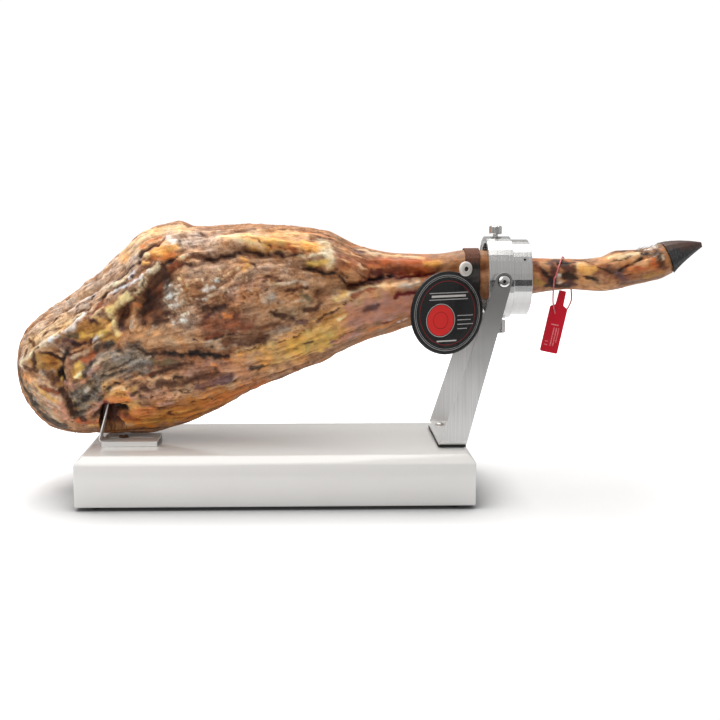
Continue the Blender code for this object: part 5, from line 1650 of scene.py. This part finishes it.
def bristle_paths():
    """Short bristles that leave the skin near the hoof and lie towards it."""
    for _ in range(BRISTLES):
        x = BRISTLE_DICE.uniform(0.418, 0.449)
        angle = BRISTLE_DICE.uniform(0.15, 0.95) * math.pi
        y, z = (float(v) for v in section(np.array(x), np.array(angle)))
        root = np.array((float(coronet_shear(x, z)) + SHIFT, y, z))
        middle = np.array((root[0], 0, HOOF_MIDDLE_Z))
        out = (root - middle) / np.linalg.norm(root - middle)
        length = BRISTLE_DICE.uniform(4, 9) * MM
        way = np.array((0.92, 0, 0.25)) + BRISTLE_DICE.normal(size=3) * 0.22
        yield curved([root - out * 0.5 * MM, root + out * 1.0 * MM + way * length * 0.45,
                      root + out * 1.1 * MM + way * length], 3)


HAIRS = place_piece("coronet_bristles", tubes("bristles", bristle_paths(), BRISTLE_RADIUS, 3, 0.3),
                    strand_paint("grey_bristle", (0.12, 0.10, 0.08), (0.46, 0.42, 0.36)),
                    "head")
FIBRE_ENDS = [
    [(-0.236, -0.020, 0.082), (-0.240, -0.027, 0.078), (-0.241, -0.029, 0.073)],
    [(-0.230, -0.019, 0.078), (-0.233, -0.026, 0.074), (-0.233, -0.027, 0.069)],
]
LOOSE = place_piece(
    "loose_fibres",
    tubes("loose_fibres", [curved(row) + (SHIFT, 0, 0) for row in FIBRE_ENDS], FIBRE_RADIUS,
          5, 0.3),
    strand_paint("dry_fibre", (0.10, 0.045, 0.02), (0.34, 0.18, 0.09)), "head")
print(HAIRS.name, len(HAIRS.data.polygons), "faces;", LOOSE.name, len(LOOSE.data.polygons))

# %% [markdown]
# ## The stand
#
# The plinth is a block of board under white lacquer.  Its solid has sharp
# upright edges; a sprayed block has soft ones, so the block is cut again from
# the same box and every edge is rounded.

# %% Lacquer
def lacquer_paint():
    made, graph, shader, where = finish("white_lacquer")
    colour = graph.blend(graph.noise(where, 9.0, 2.0), (0.72, 0.712, 0.70), (0.76, 0.752, 0.74))
    feed_looks(graph, shader, colour, (where, 0.09, 0.17),
               (graph.noise(where, 130.0, 1.0), 0.05, 0.0004), Coat_Weight=0.35,
               Coat_Roughness=0.06)
    return made


def rounded_copy(node, width, segments=3, angle=18):
    """A copy of a node's mesh with its sharp edges rounded."""
    bm = bmesh.new()
    bm.from_mesh(NODES[node].data)
    bmesh.ops.remove_doubles(bm, verts=bm.verts, dist=0.00002)
    bmesh.ops.dissolve_limit(bm, angle_limit=math.radians(1), verts=bm.verts, edges=bm.edges)
    sharp = [e for e in bm.edges if len(e.link_faces) == 2
             and e.calc_face_angle() > math.radians(angle)]
    bmesh.ops.bevel(bm, geom=sharp, offset=width, segments=segments, profile=0.5,
                    affect="EDGES", clamp_overlap=True)
    bmesh.ops.recalc_face_normals(bm, faces=bm.faces)
    mesh = bpy.data.meshes.new(node + "_rounded")
    bm.to_mesh(mesh)
    bm.free()
    return mesh


BLOCK_EDGE = 1.8 * MM
PLINTH = place_piece("lacquered_block", rounded_copy("plinth", BLOCK_EDGE), lacquer_paint(),
                     "stand", 40)
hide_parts("plinth")
print(PLINTH.name, len(PLINTH.data.polygons), "faces")

# %% [markdown]
# The bracket and the spike plate are brushed sheet: the grain runs along the
# arms.  The collar is turned, so its grain runs round it.  Both use the same
# brushed grain; only the stretch of the noise differs.  The bracket's colour is
# painted darker towards its top, as painted shade.  The polished heads of the
# pivot and set screws get painted shade: a dark recess in the middle and a dark
# line where they meet the sheet; both follow from the distance to the screw's
# own axis.

# %% Metals
def metal_paint(name, colour, scale, low, high, depth=0.00006, strength=0.35, shade_heights=None,
                metallic=1.0):
    made, graph, shader, where = finish(name)
    grain = graph.group("brushed_grain", 0, Vector=where, Scale=scale)
    cloud = graph.group("brushed_grain", 1, Vector=where, Scale=scale)
    shown = graph.blend(graph.ramp(grain, 0.3, 0.7), tuple(c * 0.86 for c in colour), colour)
    # Painted shade: between the two heights the colour darkens to 0.42 of itself towards the top.
    if shade_heights:
        painted_shade = graph.ramp(graph.part(where, 2), *shade_heights)
        shown = graph.blend(painted_shade, shown, tuple(c * 0.42 for c in colour))
    feed_looks(graph, shader, shown, bump=(grain, strength, depth), Metallic=metallic)
    graph.feed(shader.inputs["Roughness"], graph.add(
        "ShaderNodeMapRange", _0=graph.math("ADD", grain, cloud), _1=0.7, _2=1.3, _3=low, _4=high))
    return made


def middle_of(node):
    low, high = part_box(node)
    return tuple((low + high) / 2)


def head_paint(name, node, axis, hole, rim, bright, dark, metallic=1.0):
    """Polished metal, dark inside the hole's radius and outside the rim's."""
    made, graph, shader, where = finish(name)
    away = graph.group("axis_distance", 0, Vector=where, Centre=middle_of(node), Axis=axis)
    marks = graph.math("MAXIMUM", graph.ramp(away, hole * 1.15, hole * 0.85),
                       graph.ramp(away, rim * 0.96, rim * 1.02))
    feed_looks(graph, shader, graph.blend(marks, bright, dark), (where, 0.14, 0.24),
               Metallic=metallic)
    return made


def dress(paint, *nodes):
    """Gives CAD nodes a paint of their own."""
    for node in nodes:
        for place in NODES[node].material_slots:
            place.material = paint
        if not NODES[node].material_slots:
            NODES[node].data.materials.append(paint)


# The bracket is painted darker from 0.11 m up to 0.24 m: painted shade towards its top.
BRUSHED = metal_paint("brushed_sheet", (0.86, 0.86, 0.86), (1400, 1400, 12), 0.40, 0.52,
                      0.00003, 0.25, (0.11, 0.24))
SATIN = metal_paint("satin_plate", (0.93, 0.93, 0.92), (12, 1400, 1400), 0.42, 0.52,
                    0.00002, 0.25, metallic=0.55)
TURNED = metal_paint("turned_collar", (0.70, 0.70, 0.70), (1500, 30, 30), 0.20, 0.26,
                     0.000004, 0.15)
FINE_TURNED = metal_paint("turned_screws", (0.70, 0.70, 0.69), (700, 700, 700), 0.18, 0.30)
dress(BRUSHED, "bracket")
dress(SATIN, "spike_plate")
dress(TURNED, "collar_outer", "collar_inner")
dress(FINE_TURNED, "clamp_screw_top", "clamp_screw_bottom", "bracket_screw_near",
      "bracket_screw_far")
BRIGHT, RECESS_SHADE = (0.86, 0.86, 0.85), (0.06, 0.055, 0.05)
# Painted shade on the pivot screws: a dark recess in the middle and a dark ring round the head's
# foot.
for node in ("pivot_screw_near", "pivot_screw_far"):
    dress(head_paint(node + "_polish", node, (0, 1, 0), 1.9 * MM, 6.4 * MM, BRIGHT, RECESS_SHADE), node)
_, SET_Y, SET_Z = middle_of("set_screw")
PIVOT_Z = middle_of("pivot_screw_near")[2]
SET_AXIS = tuple(Vector((0, SET_Y, SET_Z - PIVOT_Z)).normalized())
NEARLY_BLACK, DARK_BROWN = (0.012, 0.011, 0.010), (0.10, 0.055, 0.035)
# Painted shade on the set screw too: nearly black in the recess and round the head's foot.
dress(head_paint("set_screw_polish", "set_screw", SET_AXIS, 1.5 * MM, 2.6 * MM, BRIGHT,
                 NEARLY_BLACK), "set_screw")
# The spike bolt's head is bright within 2.4 mm of its axis and dark brown beyond it.
dress(head_paint("spike_bolt_polish", "spike_bolt", (0, 0, 1), 0.1 * MM, 2.4 * MM, BRIGHT,
                 DARK_BROWN, 0.3), "spike_bolt")
print("metals done")

# %% [markdown]
# The four feet and the pad under the bracket are moulded rubber: nearly black
# and dull, with some pale dust in the pores.

# %% Rubber
def rubber_paint():
    made, graph, shader, where = finish("black_rubber")
    dust = graph.group("speckle", 0, Vector=where, Scale=900.0, Amount=0.5)
    colour = graph.blend(graph.math("MULTIPLY", dust, 0.3), (0.018, 0.018, 0.018),
                         (0.16, 0.15, 0.14))
    feed_looks(graph, shader, colour, (where, 0.6, 0.85))
    return made


FEET = sorted(name for name in NODES if name.startswith("foot_"))
dress(rubber_paint(), "bracket_pad", *FEET)
print(FEET)

# %% [markdown]
# ## Hoof, label and seal
#
# The claws are dark horn, ridged across by its growth and brown where it
# meets the hair.  The strap is woven: dark tape on the near side, soaked to
# the colour of the skin on top.

# %% Horn and webbing
def horn_paint():
    made, graph, shader, where = finish("black_horn")
    rings = graph.group("brushed_grain", 0, Vector=where, Scale=(900, 60, 240))
    colour = graph.blend(graph.ramp(rings, 0.35, 0.7), (0.012, 0.012, 0.014), (0.060, 0.058, 0.060))
    height = graph.mixture((0.016, graph.noise(where, 70.0, 3.0)), more=graph.part(where, 2))
    upper = graph.math("MULTIPLY", graph.ramp(height, 0.2900, 0.2965), 0.8)
    feed_looks(graph, shader, graph.blend(upper, colour, (0.080, 0.034, 0.022)),
               (where, 0.42, 0.58), (rings, 0.6, 0.0003))
    return made


def webbing_paint():
    made, graph, shader, where = finish("woven_tape")
    weave = graph.noise(graph.vector("MULTIPLY", where, (900.0, 260.0, 260.0)), 1.0, 1.0)
    lint = graph.group("speckle", 0, Vector=where, Scale=1200.0, Amount=0.6)
    base = graph.blend(weave, (0.012, 0.011, 0.011), (0.05, 0.045, 0.043))
    dusty = graph.blend(graph.math("MULTIPLY", lint, 0.5), base, (0.13, 0.09, 0.08))
    soaked = graph.blend(weave, (0.055, 0.018, 0.012), (0.20, 0.085, 0.050))
    height = graph.mixture((0.004, weave), more=graph.part(where, 2))
    feed_looks(graph, shader, graph.blend(graph.ramp(height, 0.266, 0.276), dusty, soaked),
               bump=(weave, 0.8, 0.0003), Roughness=0.9)
    return made


dress(horn_paint(), "claw_near", "claw_far")
dress(webbing_paint(), "label_strap")
print("hoof and strap painted")

# %% [markdown]
# The label is a black moulded disc that hangs on a pale press button.  It is
# turned from one outline, and each point keeps its place on the face, so the
# print can be drawn there with bars and rings: a plain design of a red disc,
# silver rings and pale bars.

# %% Label
LABEL_PLACE = (0.1945, -0.0435, 0.2135)
LABEL_TURN = math.radians(25)
LABEL_PROFILE = [(0, 1.0), (43.9, 1.0), (44.4, 1.4), (45.0, 1.5), (46.7, 1.5), (47.3, 1.2),
                 (47.5, 0.7), (47.5, -0.9), (46.9, -1.5), (0, -1.5)]
BUTTON_PLACE = (0.2147, 0.2630)
BUTTON_OUT = 1.8 * MM
LABEL_SIDES, BUTTON_SIDES = 96, 40
BUTTON_PROFILE = [(0, 0.5), (2.2, 0.6), (2.7, 1.2), (3.0, 3.0), (3.5, 3.3), (5.0, 3.0),
                  (6.2, 3.0), (7.9, 2.3), (8.5, 1.5), (8.5, 0.3), (8.2, 0), (0, 0)]


def lathed(name, profile, sides, place):
    """A turned solid from (radius, height) in millimetres, front to back."""
    turn = np.linspace(0, 2 * math.pi, sides, endpoint=False)
    rings = [np.stack((r * MM * np.cos(turn), r * MM * np.sin(turn), np.full(sides, h * MM)),
                      axis=1) for r, h in profile[1:-1]]
    front, back = (np.array([[0, 0, h * MM]]) for _, h in (profile[0], profile[-1]))
    points = np.concatenate([front] + rings + [back])
    last = 1 + (len(rings) - 1) * sides
    faces = [(0, 1 + k, 1 + (k + 1) % sides) for k in range(sides)]
    faces += between_rings(1, len(rings), sides)
    faces += [(last + (k + 1) % sides, last + k, len(points) - 1) for k in range(sides)]
    mesh = new_mesh(name, points, faces)
    put(mesh, "print", points)
    mesh.transform(place)
    face_out(mesh)
    return mesh


def bar(graph, where, x0, x1, y0, y1):
    """Mask of a printed bar between two corners, in millimetres."""
    return graph.group("print_bar", 0, Vector=where,
                       Centre=((x0 + x1) / 2 * MM, (y0 + y1) / 2 * MM, 0),
                       Half=((x1 - x0) / 2 * MM, (y1 - y0) / 2 * MM, 1))


def ring(graph, where, radius, width, centre=(0, 0, 0)):
    return graph.group("print_ring", 0, Vector=where, Centre=centre, Radius=radius * MM,
                       Width=width * MM)


def label_paint():
    made, graph, shader, place = finish("printed_label")
    where = graph.attribute("print", 1)
    silver, red, pale = (0.42, 0.42, 0.42), (0.72, 0.022, 0.020), (0.60, 0.58, 0.56)
    colour = (0.010, 0.010, 0.011)
    badge = (-9 * MM, -8 * MM, 0)
    rings = [(43.0, 0.6, silver), (41.2, 0.4, silver), (36.5, 0.7, (0.24, 0.010, 0.010)),
             (8.75, 17.5, red, badge), (18.6, 0.6, pale, badge),
             (9.5, 0.7, (0.30, 0.008, 0.008), badge)]
    bars = [(-24, 27, 15, 16, silver), (-24, 27, 22.5, 23.5, silver), (-21, 24, 18, 20.5, pale),
            (13, 34, -4, -3, silver), (13, 31, -9, -8, silver), (13, 34, -14, -13, silver),
            (13, 26, -19, -18, silver), (-14, 12, -32.6, -31, pale)]
    for radius, width, ink, *centre in rings:
        colour = graph.blend(ring(graph, where, radius, width, *centre), colour, ink)
    for *corners, ink in bars:
        colour = graph.blend(bar(graph, where, *corners), colour, ink)
    feed_looks(graph, shader, colour, (place, 0.16, 0.26))
    return made


def button_paint():
    made, graph, shader, place = finish("press_button")
    where = graph.attribute("print", 1)
    hole, shade = ring(graph, where, 0.0, 5.6), ring(graph, where, 4.8, 2.6)
    body = graph.blend(graph.math("MULTIPLY", shade, 0.5), (0.74, 0.71, 0.68), (0.50, 0.45, 0.40))
    feed_looks(graph, shader, graph.blend(hole, body, (0.050, 0.022, 0.012)),
               (place, 0.25, 0.38), Subsurface_Weight=0.2, Subsurface_Scale=0.002)
    return made


OUTWARD = Vector((math.sin(LABEL_TURN), -math.cos(LABEL_TURN), 0))
FACE_TURN = OUTWARD.to_track_quat("Z", "Y").to_matrix().to_4x4()
LABEL_MIDDLE = Vector(LABEL_PLACE) + Vector((SHIFT, 0, 0))
LABEL = place_piece("hanging_label", lathed(
    "hanging_label", LABEL_PROFILE, LABEL_SIDES, Matrix.Translation(LABEL_MIDDLE) @ FACE_TURN),
    label_paint(), "head", 30)
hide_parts("label_disc")
ALONG = (BUTTON_PLACE[0] - LABEL_PLACE[0]) / math.cos(LABEL_TURN)
BUTTON_MIDDLE = LABEL_MIDDLE + Vector((
    BUTTON_PLACE[0] - LABEL_PLACE[0], ALONG * math.sin(LABEL_TURN),
    BUTTON_PLACE[1] - LABEL_PLACE[2])) + OUTWARD * BUTTON_OUT
BUTTON = place_piece("press_button", lathed(
    "press_button", BUTTON_PROFILE, BUTTON_SIDES, Matrix.Translation(BUTTON_MIDDLE) @ FACE_TURN),
    button_paint(), "head", 40)
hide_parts("label_button")
print(LABEL.name, BUTTON.name)

# %% [markdown]
# The seal is one red moulding: a tag, its neck and a thin loop that goes
# round the shank.  The tag is cut from an outline with rounded corners; the
# loop is a smooth cord, drawn so thin that it turns pink.

# %% Seal
TAG_PLACE = (0.3244, -0.004, 0.1903)
TAG_LEAN = math.radians(12)
TAG_HALF = (10.4, 28.0)
NECK_HALF = 4.1
NECK_TOP = 46.0
TAG_THICK = 2.0
LOOP_X = (0.3205, 0.3468)
LOOP_RADIUS = 0.85 * MM
LOOP_SIDES = 8
LOOP_CLEAR = 2.2 * MM


def tag_outline():
    """Corners of the tag in millimetres, rounded, going round once."""
    wide, tall = TAG_HALF
    corners = [(-wide, -tall, 1.6), (wide, -tall, 1.6), (wide, tall - 2, 1.4),
               (NECK_HALF + 0.5, tall + 1, 0.8), (NECK_HALF, NECK_TOP, 0.8),
               (-NECK_HALF, NECK_TOP, 0.8), (-NECK_HALF - 0.5, tall + 1, 0.8),
               (-wide, tall - 2, 1.4)]
    rows = []
    for i, (x, y, radius) in enumerate(corners):
        here = np.array((x, y))
        ends = []
        for near in (corners[i - 1], corners[(i + 1) % len(corners)]):
            way = np.array(near[:2]) - here
            ends.append(here + way / np.linalg.norm(way) * radius)
        rows += [ends[0], here * 0.5 + (ends[0] + ends[1]) * 0.25, ends[1]]
    return np.array(rows)


def tag_mesh(place):
    """The outline with a thickness and softened edges."""
    outline_points = tag_outline() * MM
    centre = np.array((0.0, -2.0 * MM))
    rings = []
    for depth, inset in ((-1.0, 0.3), (-0.7, 0.0), (0.7, 0.0), (1.0, 0.3)):
        away = outline_points - centre
        share = 1 - inset * MM / np.linalg.norm(away, axis=1, keepdims=True)
        flat = centre + away * share
        rings.append(np.stack((flat[:, 0], np.full(len(flat), depth * TAG_THICK / 2 * MM),
                               flat[:, 1]), axis=1))
    count = len(outline_points)
    points = np.concatenate(rings)
    mesh = new_mesh("seal_tag", points, lids(0, 4, count) + between_rings(0, 4, count))
    put(mesh, "print", points[:, (0, 2, 1)])
    mesh.transform(place)
    face_out(mesh)
    return mesh


def seal_paint():
    made, graph, shader, place = finish("seal_red")
    where = graph.attribute("print", 1)
    colour = graph.blend(graph.noise(place, 60.0, 3.0), (0.50, 0.003, 0.016), (0.68, 0.006, 0.028))
    ink = 0.0
    for corners in ((-4.5, 4.5, 4.5, 6), (5.0, 6.2, -15, 2), (2.2, 3.6, -20, 2),
                    (-0.8, 0.6, -20, 2), (-7.5, -3.5, -20, -18.8), (-7.5, -3.5, -16, -14.8)):
        ink = graph.math("MAXIMUM", ink, bar(graph, where, *corners))
    worn = graph.ramp(graph.noise(place, 900.0, 2.0), 0.35, 0.6, 0.35, 0.9)
    shown = graph.math("MULTIPLY", graph.math("MULTIPLY", ink, worn),
                       graph.ramp(graph.part(where, 2), 0.0, -0.0005))
    feed_looks(graph, shader, graph.blend(shown, colour, (0.82, 0.26, 0.28)), (place, 0.24, 0.36))
    return made


def cord_paint():
    made, graph, shader, where = finish("seal_cord")
    colour = graph.blend(graph.noise(where, 240.0, 2.0), (0.52, 0.055, 0.075), (0.76, 0.24, 0.25))
    feed_looks(graph, shader, colour, (where, 0.18, 0.30))
    return made


def loop_route():
    """The loop from the tag's face over the shank and down behind."""
    front = [(LOOP_X[0] + 5.0 * MM, TAG_PLACE[1] - 1.9 * MM, 0.2085),
             (LOOP_X[0] + 2.6 * MM, TAG_PLACE[1] - 3.4 * MM, 0.2160),
             (LOOP_X[0] + 0.6 * MM, TAG_PLACE[1] - 8.0 * MM, 0.2270)]
    rows = []
    for share in np.linspace(0, 1, 15):
        angle = math.radians(196 - 212 * share)
        x = LOOP_X[0] + (LOOP_X[1] - LOOP_X[0]) * share
        y, z = (float(v) for v in section(np.array(x), np.array(angle)))
        middle = float(outline(HAM_TOP, x) + outline(HAM_BOTTOM, x)) / 2
        size = math.hypot(y, z - middle)
        grow = 1 + LOOP_CLEAR / size
        rows.append((x, y * grow, middle + (z - middle) * grow))
    back = [(LOOP_X[1] - 0.5 * MM, TAG_PLACE[1] + 9.0 * MM, 0.2270),
            (LOOP_X[1] - 4.0 * MM, TAG_PLACE[1] + 3.5 * MM, 0.2180),
            (LOOP_X[1] - 8.5 * MM, TAG_PLACE[1] + 1.6 * MM, 0.2110)]
    return curved(front + rows + back, 5) + (SHIFT, 0, 0)


TAG_FRAME = (Matrix.Translation(Vector(TAG_PLACE) + Vector((SHIFT, 0, 0)))
             @ Matrix.Rotation(TAG_LEAN, 4, "Y"))
TAG = place_piece("seal_label", tag_mesh(TAG_FRAME), seal_paint(), "head", 30)
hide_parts("seal_tag")
LOOP = loop_route()
CORD = place_piece("seal_loop", tubes("seal_loop", [LOOP], LOOP_RADIUS, LOOP_SIDES),
                   cord_paint(), "head")
LOOP_LENGTH = float(np.linalg.norm(np.diff(LOOP, axis=0), axis=1).sum())
print(TAG.name, CORD.name, round(LOOP_LENGTH / MM), "mm of cord")
